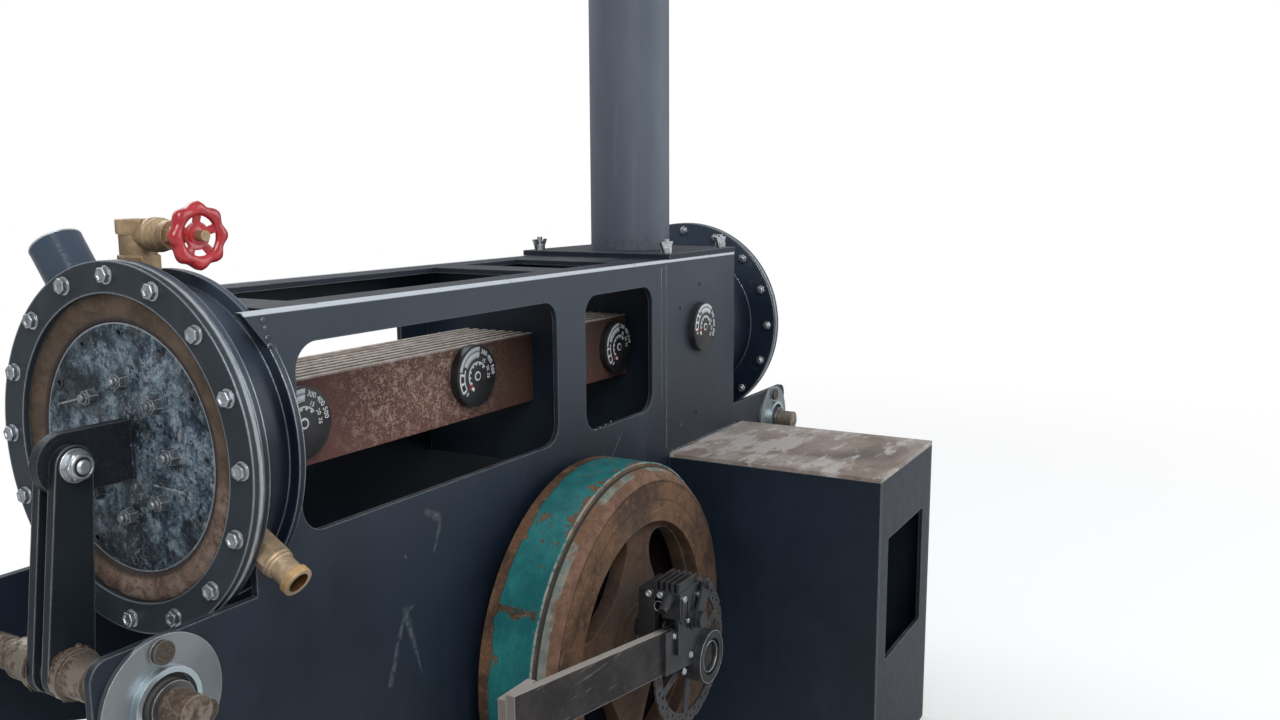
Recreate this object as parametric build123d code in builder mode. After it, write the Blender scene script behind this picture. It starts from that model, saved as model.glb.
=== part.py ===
"""Home-built hot-air engine: a welded plate frame on the ground with a diaphragm piston in a
short drum at each end, a stack of regenerator sheets between them, a hot box with its flue,
a firebox on the near side and a cast flywheel on a crankshaft across the middle.

X runs along the frame from the cold end (-X) to the hot end (+X), the flywheel and the
firebox are on the -Y side, and the ground is z = 0. Sizes are in millimetres.
"""

from build123d import *
from math import cos, radians, sin
import os

os.makedirs("parts", exist_ok=True)

# Frame of welded plate
frame_height = 620.0
frame_width = 216.0
plate_thickness = 6.0
plate_cold_x = -447.0
plate_hot_x = 396.0
body_cold_x = -400.0
arm_tip_margin = 50.0
arm_corner_radius = 14.0
arm_depth = 102.0
arm_rise = 58.0
end_cut_length = 30.4
end_cut_drop = 36.0
arm_drop = 6.0
shaft_hole_clearance = 1.5
rail_width = 32.0
strip_width = 48.0
web_x = 6.0
web_below_window = 40.0
end_web_x = 212.0
hot_box_depth = 236.0
hot_strip_width = 70.0

# Windows cut through both side plates
window_top_margin = 28.0
window_height = 149.0
window_corner = 22.0
long_window_x0 = -399.0
long_window_x1 = -42.0
short_window_x0 = 12.0
short_window_x1 = 163.0

# Drums and diaphragms
drum_axis_drop = 106.0
drum_face_x = 474.0
ring_radius = 142.0
ring_inner_radius = 118.0
ring_thickness = 6.0
diaphragm_thickness = 3.0
flange_thickness = 6.0
drum_wall = 6.0
cold_drum_radius = 133.0
cold_shell_radius = 123.0
back_flange_thickness = 6.0
cold_drum_back_x = -417.0
bulkhead_thickness = 3.0
hot_drum_radius = 106.0
ring_bolt_count = 16
ring_bolt_place_radius = 131.5
ring_bolt_radius = 4.0
notch_clearance = 0.4

# Pistons, lugs and rocker levers
piston_radius = 96.0
piston_thickness = 5.0
piston_recess = 7.0
piston_clearance = 0.6
stud_count = 8
stud_place_radius = 52.0
stud_radius = 4.0
stud_length = 18.0
nut_radius = 7.5
nut_height = 7.0
rim_hole_count = 12
rim_hole_place_radius = 88.0
rim_hole_radius = 2.5
rocker_stand_off = 60.0
rocker_drop = 255.5
pivot_lean = 15.0
lug_thickness = 9.0
lug_radius = 23.0
lever_thickness = 8.0
lever_head_radius = 14.5
lever_foot_radius = 18.5
lever_side_gap = 0.3
pivot_radius = 6.0
pivot_clearance = 0.8
pivot_washer_radius = 12.5
pivot_washer_height = 2.0
pivot_nut_radius = 11.0
pivot_nut_height = 8.0
pivot_end_height = 3.0
shaft_radius = 12.5
bearing_clearance = 0.05
collar_radius = 16.0
collar_length = 30.0
weld_radius = 19.0
weld_length = 7.0
rocker_shaft_reach = 36.0
bearing_radius = 47.5
bearing_flange = 4.0
bearing_lip_radius = 26.0
bearing_lip_inner_radius = 22.0
bearing_lip_height = 10.0
bearing_race_radius = 17.5
bearing_race_height = 14.0
bearing_bolt_place_radius = 36.5
bearing_bolt_radius = 8.5
bearing_bolt_height = 4.0
bearing_bolt_count = 3

# Ports on the cold drum
stub_angle = 36.5
stub_radius = 20.8
stub_wall = 3.0
stub_length = 64.0
stub_hole_ease = 1.0
nipple_angle = -120.0
nipple_x = -446.0
nipple_radius = 10.0
nipple_wall = 2.2
elbow_radius = 12.5
elbow_length = 25.0
nipple_length = 25.0
nipple_lip_radius = 11.5
nipple_lip_length = 6.0
valve_y = 10.0
valve_body_width = 33.0
valve_stack_height = 38.0
valve_waist_inset = 3.0
stem_rise = 26.5
valve_socket_height = 11.0
valve_bore_radius = 10.5
valve_bonnet_radius = 11.0
valve_neck_radius = 11.0
valve_bonnet_length = 24.0
valve_stem_radius = 4.0
valve_stem_length = 35.5
handwheel_radius = 23.5
handwheel_rim = 7.5
handwheel_lobe_radius = 7.0
handwheel_lobe_place_radius = 18.5
handwheel_lobes = 7
handwheel_thickness = 8.0
handwheel_boss = 7.0
handwheel_spokes = 5
handwheel_spoke_width = 5.0
stem_stand_out = 4.0
seat_overlap = 4.0
seat_gap = 0.05

# Regenerator sheets and dial thermometers
sheet_count = 8
sheet_thickness = 6.0
sheet_pitch = 12.0
stack_top_drop = 69.0
stack_height = 75.0
dial_radius = 31.5
dial_depth = 9.0
dial_bezel = 3.0
dial_recess = 2.0
stack_dial_x = (-342.0, -108.0, 175.0)
stack_dial_drop = (105.0, 100.0, 106.0)
hot_box_dial_x = 287.0
hot_box_dial_drop = 90.0

# Hot box lid, flue and firebox
lid_thickness = 7.0
lid_overhang = 2.0
flue_radius = 52.0
flue_wall = 3.0
flue_height = 500.0
flue_x = 300.0
wing_nut_inset = 14.0
wing_nut_radius = 7.0
wing_nut_height = 7.0
wing_span = 30.0
wing_height = 14.0
wing_thickness = 3.5
wing_stud_radius = 3.5
wing_stud_height = 17.0
firebox_cold_x = 206.0
firebox_hot_x = 426.0
firebox_reach = 270.0
firebox_wall = 5.0
firebox_drop = 240.0
firebox_mouth_width = 150.0
firebox_mouth_height = 150.0
firebox_mouth_drop = 155.0

# Flywheel, with rim steps given as (forward of the belt face, below the belt)
crank_x = -20.0
crank_drop = 386.0
crank_radius = 15.0
crank_far_reach = 40.0
wheel_radius = 188.0
wheel_gap = 14.0
belt_width = 59.0
face_stand_out = 18.0
rim_steps = ((0.0, 4.0), (3.0, 5.0), (10.0, 8.0), (11.5, 9.5), (15.0, 12.5), (18.0, 16.0))
face_inner_radius = 128.0
rim_inner_radius = 150.0
face_thickness = 20.0
web_recess = 14.0
web_thickness = 16.0
hub_radius = 38.0
hub_length = 66.0
spoke_count = 4

# Opening between two spokes, as shares of the face's inner radius with angles from +X
spoke_opening = (
    (0.97, 12.0),
    (0.98, 37.0),
    (0.96, 61.0),
    (0.86, 71.0),
    (0.72, 70.0),
    (0.59, 58.0),
    (0.54, 43.0),
    (0.57, 27.0),
    (0.70, 13.0),
    (0.86, 8.0),
)

# Outboard bar with the shaft's end bearing
bar_y = -264.0
bar_thickness = 8.0
bar_width = 43.0
bar_free_x = -345.0
bar_drop_at_end = 317.0
bar_drop_at_hub = 366.0
bar_shaft_gap = 1.0
hub_plate_thickness = 4.0
hub_plate_reach = 86.0
hub_plate_rise = 36.0
outboard_radius = 27.0
outboard_stand_out = 11.0
outboard_bore_clearance = 0.05
outboard_recess_radius = 19.0
outboard_recess = 5.0
stay_width = 40.0
stay_thickness = 8.0
stay_top_gap = 5.0

# Disc brake on the crankshaft's outer end, places given from the crankshaft's axis
brake_disc_y = -249.8
brake_disc_thickness = 2.4
brake_disc_radius = 76.0
brake_track_width = 14.0
brake_disc_hub_radius = 24.0
brake_disc_arms = 6
brake_disc_arm_width = 9.0
brake_disc_arm_angle = -100.0
pad_gap = 2.6
caliper_start_x = -68.0
caliper_end_x = -18.0
caliper_front_y = -274.0
caliper_back_y = -228.0
caliper_foot_z = 56.0
caliper_back_foot_z = 30.0
caliper_bridge_z = 81.0
caliper_bridge_thickness = 7.0
caliper_corner = 6.0
caliper_fin_count = 5
caliper_fin_pitch = 6.0
caliper_fin_thickness = 3.0
caliper_fin_height = 10.0
caliper_fin_end_x = -30.0
caliper_knob_x = -50.0
caliper_knob_z = 40.0
caliper_knob_radius = 9.0
caliper_knob_length = 11.0
bracket_end_x = -40.0
bracket_foot_z = 26.0
bracket_thickness = 4.0
barrel_x = -60.0
barrel_z = 86.0
barrel_slope = 0.5
barrel_radius = 4.5
barrel_length = 26.0
barrel_y = -262.0
brake_arm_pivot_x = -37.0
brake_arm_pivot_z = 54.0
brake_arm_end_x = -21.0
brake_arm_end_z = 84.0
brake_arm_pivot_radius = 9.0
brake_arm_end_radius = 7.0
brake_arm_thickness = 3.2
brake_arm_gap = 0.4
brake_pin_radius = 5.0
brake_pin_head_radius = 8.0
brake_pin_head_height = 4.0
brake_boss_radius = 11.0
brake_boss_height = 2.0
cable_bolt_radius = 4.0
cable_bolt_height = 4.0

# Worked out from the sizes above
half_width = frame_width / 2
inner_half = half_width - plate_thickness
drum_z = frame_height - drum_axis_drop
rocker_x = drum_face_x + rocker_stand_off
pivot_x = rocker_x - pivot_lean
arm_tip = rocker_x + arm_tip_margin
rocker_z = frame_height - rocker_drop
crank_z = frame_height - crank_drop
window_top = frame_height - window_top_margin
window_bottom = window_top - window_height
arm_top = rocker_z + arm_depth / 2 - arm_drop
arm_bottom = arm_top - arm_depth
flange_x = drum_face_x - ring_thickness - diaphragm_thickness
hot_box_floor_z = frame_height - hot_box_depth
firebox_height = frame_height - firebox_drop
firebox_mouth_z = firebox_height - firebox_mouth_drop


def side_plate_face(y):
    """Profile of a side plate on a plane at y, seen from the -Y side."""
    with BuildSketch(Plane.XZ.offset(-y)) as face:
        with BuildLine():
            Polyline(
                (body_cold_x, 0),
                (plate_hot_x, 0),
                (plate_hot_x, arm_bottom - arm_rise),
                (arm_tip, arm_bottom),
                (arm_tip, arm_top),
                (plate_hot_x, arm_top),
                (plate_hot_x, frame_height),
                (plate_cold_x, frame_height),
                (plate_cold_x + end_cut_length, frame_height - end_cut_drop),
                (plate_cold_x + end_cut_length, drum_z),
                (plate_cold_x, drum_z),
                (plate_cold_x, arm_top),
                (-arm_tip, arm_top),
                (-arm_tip, arm_bottom),
                (body_cold_x, arm_bottom - arm_rise),
                close=True,
            )
        make_face()
        tips = face.vertices().group_by(Axis.X)
        fillet(tips[0] + tips[-1], arm_corner_radius)
        for start, end in (
            (long_window_x0, long_window_x1),
            (short_window_x0, short_window_x1),
        ):
            with Locations(((start + end) / 2, (window_top + window_bottom) / 2)):
                RectangleRounded(end - start, window_height, window_corner, mode=Mode.SUBTRACT)
    return face.sketch


port_x = (cold_drum_back_x - flange_x + flange_thickness) / 2


def radial_plane(angle, distance, x=port_x):
    """Plane across a radial port of the cold drum, at an angle from the vertical towards +Y."""
    out = Vector(0, sin(radians(angle)), cos(radians(angle)))
    origin = Vector(x, 0, drum_z) + out * distance
    return Plane(origin=origin, x_dir=(1, 0, 0), z_dir=out)


def make_side_plate(label, outer_y, inward):
    """Side plate with its windows, shaft holes and the notches round the drum and its ports."""
    with BuildPart() as plate:
        add(side_plate_face(outer_y))
        extrude(amount=plate_thickness, dir=(0, inward, 0))
        with Locations(Plane.YZ.offset(plate_cold_x - 1)):
            with Locations((0, drum_z)):
                notch = cold_drum_back_x - plate_cold_x + 1 + notch_clearance
                Cylinder(
                    cold_drum_radius + notch_clearance,
                    notch,
                    align=(Align.CENTER, Align.CENTER, Align.MIN),
                    mode=Mode.SUBTRACT,
                )
        with BuildSketch(radial_plane(stub_angle, 0)):
            Circle(stub_radius + notch_clearance)
        extrude(amount=cold_shell_radius + stub_length, mode=Mode.SUBTRACT)
        with BuildSketch(radial_plane(nipple_angle, 0, nipple_x)):
            Circle(elbow_radius + notch_clearance)
        extrude(amount=cold_shell_radius + elbow_length, mode=Mode.SUBTRACT)
        with Locations(Plane.XZ.offset(-outer_y)):
            with Locations((-rocker_x, rocker_z), (rocker_x, rocker_z)):
                Hole(shaft_radius + shaft_hole_clearance)
            with Locations((crank_x, crank_z)):
                Hole(crank_radius + shaft_hole_clearance)
    plate.part.label = label
    export_step(plate.part, f"parts/{label}.step")


make_side_plate("near_side_plate", -half_width, 1)
make_side_plate("far_side_plate", half_width, -1)


def make_blocks(label, *corners):
    """Plain plates, each from one corner to the opposite one."""
    with BuildPart() as blocks:
        for low, high in corners:
            with BuildSketch(Plane.XY.offset(low[2])):
                with Locations(((low[0] + high[0]) / 2, (low[1] + high[1]) / 2)):
                    Rectangle(high[0] - low[0], high[1] - low[1])
            extrude(amount=high[2] - low[2])
    blocks.part.label = label
    export_step(blocks.part, f"parts/{label}.step")


# Top rails, cross strips, webs and floor of the frame
rail_bottom = frame_height - plate_thickness
rail_start = cold_drum_back_x + notch_clearance
web_half = plate_thickness / 2
strip_half = inner_half - rail_width
hot_web_face = end_web_x - web_half
make_blocks(
    "top_rails",
    ((rail_start, -inner_half, rail_bottom), (hot_web_face, -strip_half, frame_height)),
    ((rail_start, strip_half, rail_bottom), (hot_web_face, inner_half, frame_height)),
)
strip_spans = (
    (rail_start, rail_start + strip_width),
    (web_x - strip_width / 2, web_x + strip_width / 2),
    (hot_web_face - hot_strip_width, hot_web_face),
)
make_blocks(
    "cross_strips",
    *(
        ((start, -strip_half, rail_bottom), (stop, strip_half, frame_height))
        for start, stop in strip_spans
    ),
)
make_blocks(
    "middle_web",
    (
        (web_x - web_half, -inner_half, window_bottom - web_below_window),
        (web_x + web_half, inner_half, rail_bottom),
    ),
)
make_blocks(
    "hot_box_front_wall",
    (
        (hot_web_face, -inner_half, hot_box_floor_z),
        (end_web_x + web_half, inner_half, frame_height),
    ),
)
make_blocks(
    "hot_box_back_wall",
    (
        (plate_hot_x - plate_thickness, -inner_half, hot_box_floor_z),
        (plate_hot_x, inner_half, frame_height),
    ),
)
make_blocks(
    "hot_box_floor",
    (
        (hot_web_face, -inner_half, hot_box_floor_z - plate_thickness),
        (plate_hot_x, inner_half, hot_box_floor_z),
    ),
)
make_blocks(
    "base_plate",
    ((body_cold_x, -inner_half, 0), (plate_hot_x, inner_half, plate_thickness)),
)


# Drums, each a flanged shell on its bulkhead
def ring_bolt_places():
    """Bolt centres of a clamp ring, with one bolt at the top."""
    return [
        (
            ring_bolt_place_radius * cos(radians(360 * i / ring_bolt_count)),
            drum_z + ring_bolt_place_radius * sin(radians(360 * i / ring_bolt_count)),
        )
        for i in range(ring_bolt_count)
    ]


def make_disc(label, x, length, outer, inner=0.0, bolt_holes=False):
    """Disc or ring about the drum axis from x towards +X."""
    with BuildPart() as disc:
        with BuildSketch(Plane.YZ.offset(x)):
            with Locations((0, drum_z)):
                Circle(outer)
                if inner:
                    Circle(inner, mode=Mode.SUBTRACT)
            if bolt_holes:
                with Locations(ring_bolt_places()):
                    Circle(ring_bolt_radius, mode=Mode.SUBTRACT)
        extrude(amount=length)
    disc.part.label = label
    export_step(disc.part, f"parts/{label}.step")


def make_drum(label, side, back_x, radius, back_radius=0.0, ports=()):
    """Shell with its bolting flange, back flange and the holes of its ports; side is -1 or 1."""
    front = side * flange_x
    back_of_flange = side * (flange_x - flange_thickness)
    with BuildPart() as drum:
        with BuildSketch(Plane.YZ.offset(min(front, back_of_flange))):
            with Locations((0, drum_z)):
                Circle(ring_radius)
                Circle(min(ring_inner_radius, radius - drum_wall), mode=Mode.SUBTRACT)
            with Locations(ring_bolt_places()):
                Circle(ring_bolt_radius, mode=Mode.SUBTRACT)
        extrude(amount=flange_thickness)
        shell_start, shell_end = sorted((back_of_flange, back_x))
        with BuildSketch(Plane.YZ.offset(shell_start)):
            with Locations((0, drum_z)):
                Circle(radius)
                Circle(radius - drum_wall, mode=Mode.SUBTRACT)
        extrude(amount=shell_end - shell_start)
        if back_radius:
            with BuildSketch(Plane.YZ.offset(back_x)):
                with Locations((0, drum_z)):
                    Circle(back_radius)
                    Circle(radius - drum_wall, mode=Mode.SUBTRACT)
            extrude(amount=side * back_flange_thickness)
        for angle, port_radius, x in ports:
            with BuildSketch(radial_plane(angle, 0, x)):
                Circle(port_radius)
            extrude(amount=2 * radius, mode=Mode.SUBTRACT)
    drum.part.label = label
    export_step(drum.part, f"parts/{label}.step")


bulkhead_x = cold_drum_back_x - bulkhead_thickness
port_holes = (
    (stub_angle, stub_radius - stub_wall + stub_hole_ease, port_x),
    (nipple_angle, nipple_radius - nipple_wall, nipple_x),
)
make_drum("cold_drum", -1, cold_drum_back_x, cold_shell_radius, cold_drum_radius, port_holes)
make_disc("cold_bulkhead", bulkhead_x, bulkhead_thickness, cold_shell_radius - drum_wall)
make_drum("hot_drum", 1, plate_hot_x, hot_drum_radius)
ends = (("cold", -1), ("hot", 1))
for end, side in ends:
    outer_face = side * drum_face_x
    under_ring = side * (drum_face_x - ring_thickness)
    under_diaphragm = side * flange_x
    make_disc(
        f"{end}_clamp_ring",
        min(outer_face, under_ring),
        ring_thickness,
        ring_radius,
        ring_inner_radius,
        bolt_holes=True,
    )
    make_disc(
        f"{end}_diaphragm",
        min(under_ring, under_diaphragm),
        diaphragm_thickness,
        ring_radius,
        piston_radius + piston_clearance,
    )


# Piston discs with their studs and the lug that the levers hold
def make_piston(end, side):
    """Disc with studs, nuts and rim holes, and its lug, as one welded piece."""
    face_x = side * (drum_face_x - piston_recess)
    back_x = face_x - side * piston_thickness
    outward = Align.MIN if side > 0 else Align.MAX
    with BuildPart() as piston:
        with BuildSketch(Plane.YZ.offset(min(face_x, back_x))):
            with Locations((0, drum_z)):
                Circle(piston_radius)
                with PolarLocations(rim_hole_place_radius, rim_hole_count):
                    Circle(rim_hole_radius, mode=Mode.SUBTRACT)
        extrude(amount=piston_thickness)
        with Locations(Plane.YZ.offset(face_x)):
            with Locations((0, drum_z)):
                with PolarLocations(stud_place_radius, stud_count):
                    Cylinder(stud_radius, stud_length, align=(Align.CENTER, Align.CENTER, outward))
        with BuildSketch(Plane.YZ.offset(min(face_x, face_x + side * nut_height))):
            with Locations((0, drum_z)):
                with PolarLocations(stud_place_radius, stud_count):
                    RegularPolygon(nut_radius, 6)
        extrude(amount=nut_height)
        lug_reach = pivot_x - drum_face_x + piston_recess
        with BuildSketch(Plane.XZ.offset(lug_thickness / 2)):
            with Locations((side * (pivot_x - lug_reach / 2), drum_z)):
                Rectangle(lug_reach, 2 * lug_radius)
            with Locations((side * pivot_x, drum_z)):
                Circle(lug_radius)
                Circle(pivot_radius + pivot_clearance, mode=Mode.SUBTRACT)
        extrude(amount=-lug_thickness)
    piston.part.label = f"{end}_piston"
    export_step(piston.part, f"parts/{end}_piston.step")


# Rocker levers, their shaft and the pivot bolt, which turn together
lever_inner_y = lug_thickness / 2 + lever_side_gap
lever_outer_y = lever_inner_y + lever_thickness


def make_levers(end, side):
    """Two tapered bars with round ends, one each side of the lug, leaning in to the pivot."""
    with BuildPart() as levers:
        for outward in (-1, 1):
            with BuildSketch(Plane.XZ.offset(-outward * lever_inner_y)):
                with Locations((side * pivot_x, drum_z)):
                    Circle(lever_head_radius)
                with Locations((side * rocker_x, rocker_z)):
                    Circle(lever_foot_radius)
                make_hull()
                with Locations((side * pivot_x, drum_z)):
                    Circle(pivot_radius, mode=Mode.SUBTRACT)
                with Locations((side * rocker_x, rocker_z)):
                    Circle(shaft_radius, mode=Mode.SUBTRACT)
            extrude(amount=lever_thickness, dir=(0, outward, 0))
    levers.part.label = f"{end}_levers"
    export_step(levers.part, f"parts/{end}_levers.step")


def make_shaft(end, side):
    """Rocker shaft with a weld bead and a collar outside each lever."""
    with BuildPart() as shaft:
        with Locations(Plane.XZ):
            with Locations((side * rocker_x, rocker_z)):
                Cylinder(shaft_radius, frame_width + 2 * rocker_shaft_reach)
        for side_y in (-1, 1):
            for radius, length in ((weld_radius, weld_length), (collar_radius, collar_length)):
                with BuildSketch(Plane.XZ.offset(side_y * lever_outer_y)):
                    with Locations((side * rocker_x, rocker_z)):
                        Circle(radius)
                        Circle(shaft_radius, mode=Mode.SUBTRACT)
                extrude(amount=side_y * length)
    shaft.part.label = f"{end}_rocker_shaft"
    export_step(shaft.part, f"parts/{end}_rocker_shaft.step")


def make_pivot_bolt(end, side):
    """Stud through both levers and the lug, with a washer and a nut at each end."""
    centre = (side * pivot_x, drum_z)
    nut_face = lever_outer_y + pivot_washer_height
    with BuildPart() as bolt:
        with Locations(Plane.XZ):
            with Locations(centre):
                Cylinder(pivot_radius, 2 * (nut_face + pivot_nut_height + pivot_end_height))
        for side_y in (-1, 1):
            with BuildSketch(Plane.XZ.offset(side_y * lever_outer_y)):
                with Locations(centre):
                    Circle(pivot_washer_radius)
            extrude(amount=side_y * pivot_washer_height)
            with BuildSketch(Plane.XZ.offset(side_y * nut_face)):
                with Locations(centre):
                    RegularPolygon(pivot_nut_radius, 6)
            extrude(amount=side_y * pivot_nut_height)
    bolt.part.label = f"{end}_pivot_bolt"
    export_step(bolt.part, f"parts/{end}_pivot_bolt.step")


def make_bearings(end, side):
    """Round pressed flange bearings on the outer faces of both arms, each with three bolts."""
    centre = (side * rocker_x, rocker_z)
    bore = shaft_radius + bearing_clearance
    section = (
        (0, bore),
        (0, bearing_radius),
        (bearing_flange, bearing_radius),
        (bearing_flange, bearing_lip_radius),
        (bearing_lip_height, bearing_lip_radius),
        (bearing_lip_height, bearing_lip_inner_radius),
        (bearing_flange, bearing_lip_inner_radius),
        (bearing_flange, bearing_race_radius),
        (bearing_race_height, bearing_race_radius),
        (bearing_race_height, bore),
    )
    with BuildPart() as bearings:
        for outward in (-1, 1):
            face = outward * half_width
            with BuildSketch(Plane.YZ.offset(centre[0])):
                with BuildLine():
                    Polyline(
                        *[(face + outward * out, rocker_z + radius) for out, radius in section],
                        close=True,
                    )
                make_face()
            revolve(axis=Axis((centre[0], 0, rocker_z), (0, 1, 0)))
            with BuildSketch(Plane.XZ.offset(-face - outward * bearing_flange)):
                with Locations(centre):
                    with PolarLocations(bearing_bolt_place_radius, bearing_bolt_count, start_angle=90):
                        Circle(bearing_bolt_radius)
            extrude(amount=bearing_bolt_height, dir=(0, outward, 0))
    bearings.part.label = f"{end}_bearings"
    export_step(bearings.part, f"parts/{end}_bearings.step")


for end, side in ends:
    make_piston(end, side)
    make_levers(end, side)
    make_shaft(end, side)
    make_pivot_bolt(end, side)
    make_bearings(end, side)


# Regenerator: upright sheets side by side between the bulkhead, the web and the hot box
stack_top = frame_height - stack_top_drop
stack_half = (sheet_count - 1) * sheet_pitch / 2 + sheet_thickness / 2
stack_spans = {
    "cold_sheet_stack": (cold_drum_back_x, web_x - web_half),
    "hot_sheet_stack": (web_x + web_half, end_web_x - web_half),
}
for label, (start, end_x) in stack_spans.items():
    with BuildPart() as stack:
        with BuildSketch(Plane.YZ.offset(start)):
            with Locations((0, stack_top - stack_height / 2)):
                with GridLocations(sheet_pitch, 0, sheet_count, 1):
                    Rectangle(sheet_thickness, stack_height)
        extrude(amount=end_x - start)
    stack.part.label = label
    export_step(stack.part, f"parts/{label}.step")


# Dial thermometers on the stack and on the hot box
def make_dials(label, face_y, centres):
    """Round dial thermometers with a raised bezel, standing on a face at face_y."""
    with BuildPart() as dials:
        with BuildSketch(Plane.XZ.offset(-face_y)):
            with Locations(*centres):
                Circle(dial_radius)
        extrude(amount=dial_depth, dir=(0, -1, 0))
        with BuildSketch(Plane.XZ.offset(-face_y + dial_depth)):
            with Locations(*centres):
                Circle(dial_radius - dial_bezel)
        extrude(amount=dial_recess, dir=(0, 1, 0), mode=Mode.SUBTRACT)
    dials.part.label = label
    export_step(dials.part, f"parts/{label}.step")


make_dials(
    "stack_dials",
    -stack_half,
    [(x, frame_height - drop) for x, drop in zip(stack_dial_x, stack_dial_drop)],
)
make_dials("hot_box_dial", -half_width, [(hot_box_dial_x, frame_height - hot_box_dial_drop)])


# Hot box lid with the flue and wing nuts
lid_top = frame_height + lid_thickness
with BuildPart() as lid:
    with BuildSketch(Plane.XY.offset(frame_height)):
        lid_length = plate_hot_x - end_web_x + web_half + 2 * lid_overhang
        with Locations(((plate_hot_x + end_web_x - web_half) / 2, 0)):
            Rectangle(lid_length, frame_width)
        with Locations((flue_x, 0)):
            Circle(flue_radius - flue_wall, mode=Mode.SUBTRACT)
    extrude(amount=lid_thickness)
lid.part.label = "hot_box_lid"
export_step(lid.part, "parts/hot_box_lid.step")

with BuildPart() as flue:
    with BuildSketch(Plane.XY.offset(lid_top)):
        with Locations((flue_x, 0)):
            Circle(flue_radius)
            Circle(flue_radius - flue_wall, mode=Mode.SUBTRACT)
    extrude(amount=flue_height)
flue.part.label = "flue"
export_step(flue.part, "parts/flue.step")

with BuildPart() as wing_nuts:
    lid_centre = (plate_hot_x + end_web_x - web_half) / 2
    across = frame_width - 2 * wing_nut_inset
    along = plate_hot_x - end_web_x - 2 * wing_nut_inset
    for radius, height in (
        (wing_nut_radius, wing_nut_height),
        (wing_stud_radius, wing_stud_height),
    ):
        with BuildSketch(Plane.XY.offset(lid_top)):
            with Locations((lid_centre, 0)):
                with GridLocations(along, across, 2, 2):
                    Circle(radius)
        extrude(amount=height)
    for wing_y in (-across / 2, across / 2):
        with BuildSketch(Plane.XZ.offset(-wing_y - wing_thickness / 2)):
            for wing_x in (lid_centre - along / 2, lid_centre + along / 2):
                with BuildLine():
                    Polyline(
                        (wing_x - wing_nut_radius, lid_top),
                        (wing_x + wing_nut_radius, lid_top),
                        (wing_x + wing_span / 2, lid_top + wing_height),
                        (wing_x + wing_nut_radius, lid_top + wing_height),
                        (wing_x, lid_top + wing_nut_height),
                        (wing_x - wing_nut_radius, lid_top + wing_height),
                        (wing_x - wing_span / 2, lid_top + wing_height),
                        close=True,
                    )
                make_face()
        extrude(amount=wing_thickness)
wing_nuts.part.label = "lid_wing_nuts"
export_step(wing_nuts.part, "parts/lid_wing_nuts.step")

# Firebox beside the hot end: two side walls, outer wall, top plate and floor
firebox_inner = -half_width
firebox_outer = -half_width - firebox_reach
firebox_body_top = firebox_height - firebox_wall
firebox_middle_x = (firebox_cold_x + firebox_hot_x) / 2
make_blocks(
    "firebox_top",
    (
        (firebox_cold_x, firebox_outer, firebox_body_top),
        (firebox_hot_x, firebox_inner, firebox_height),
    ),
)
make_blocks(
    "firebox_side_walls",
    (
        (firebox_cold_x, firebox_outer, 0),
        (firebox_cold_x + firebox_wall, firebox_inner, firebox_body_top),
    ),
    (
        (firebox_hot_x - firebox_wall, firebox_outer, 0),
        (firebox_hot_x, firebox_inner, firebox_body_top),
    ),
)
with BuildPart() as end_wall:
    with BuildSketch(Plane.XZ.offset(-firebox_outer)):
        with Locations((firebox_middle_x, (firebox_wall + firebox_body_top) / 2)):
            Rectangle(
                firebox_hot_x - firebox_cold_x - 2 * firebox_wall,
                firebox_body_top - firebox_wall,
            )
        with Locations((firebox_middle_x, firebox_mouth_z)):
            Rectangle(firebox_mouth_width, firebox_mouth_height, mode=Mode.SUBTRACT)
    extrude(amount=firebox_wall, dir=(0, 1, 0))
end_wall.part.label = "firebox_end_wall"
export_step(end_wall.part, "parts/firebox_end_wall.step")
make_blocks(
    "firebox_floor",
    (
        (firebox_cold_x + firebox_wall, firebox_outer, 0),
        (firebox_hot_x - firebox_wall, firebox_inner, firebox_wall),
    ),
)

# Flywheel: a stepped rim on curved spokes
wheel_back = -half_width - wheel_gap
belt_front = wheel_back - belt_width
wheel_front = belt_front - face_stand_out
wheel_middle = (wheel_back + wheel_front) / 2
crank_axis = Axis((crank_x, 0, crank_z), (0, 1, 0))
web_front = wheel_front + web_recess
with BuildPart() as flywheel:
    with BuildSketch(Plane.YZ.offset(crank_x)):
        with BuildLine():
            Polyline(
                (wheel_back, crank_z + rim_inner_radius),
                (wheel_back, crank_z + wheel_radius),
                (belt_front, crank_z + wheel_radius),
                *[(belt_front - out, crank_z + wheel_radius - step) for out, step in rim_steps],
                (wheel_front, crank_z + face_inner_radius),
                (wheel_front + face_thickness, crank_z + face_inner_radius),
                (wheel_front + face_thickness, crank_z + rim_inner_radius),
                close=True,
            )
        make_face()
    revolve(axis=crank_axis)
    with BuildSketch(Plane.XZ.offset(-web_front - web_thickness)):
        with Locations((crank_x, crank_z)):
            Circle((face_inner_radius + rim_inner_radius) / 2)
        for i in range(spoke_count):
            turn = 360 * i / spoke_count
            with BuildLine():
                Spline(
                    *[
                        (
                            crank_x + share * face_inner_radius * cos(radians(angle + turn)),
                            crank_z + share * face_inner_radius * sin(radians(angle + turn)),
                        )
                        for share, angle in spoke_opening
                    ],
                    periodic=True,
                )
            make_face(mode=Mode.SUBTRACT)
    extrude(amount=web_thickness)
    with BuildSketch(Plane.XZ.offset(-wheel_middle - hub_length / 2)):
        with Locations((crank_x, crank_z)):
            Circle(hub_radius)
    extrude(amount=hub_length)
    with Locations(Plane.XZ):
        with Locations((crank_x, crank_z)):
            Hole(crank_radius)
flywheel.part.label = "flywheel"
export_step(flywheel.part, "parts/flywheel.step")

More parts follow.
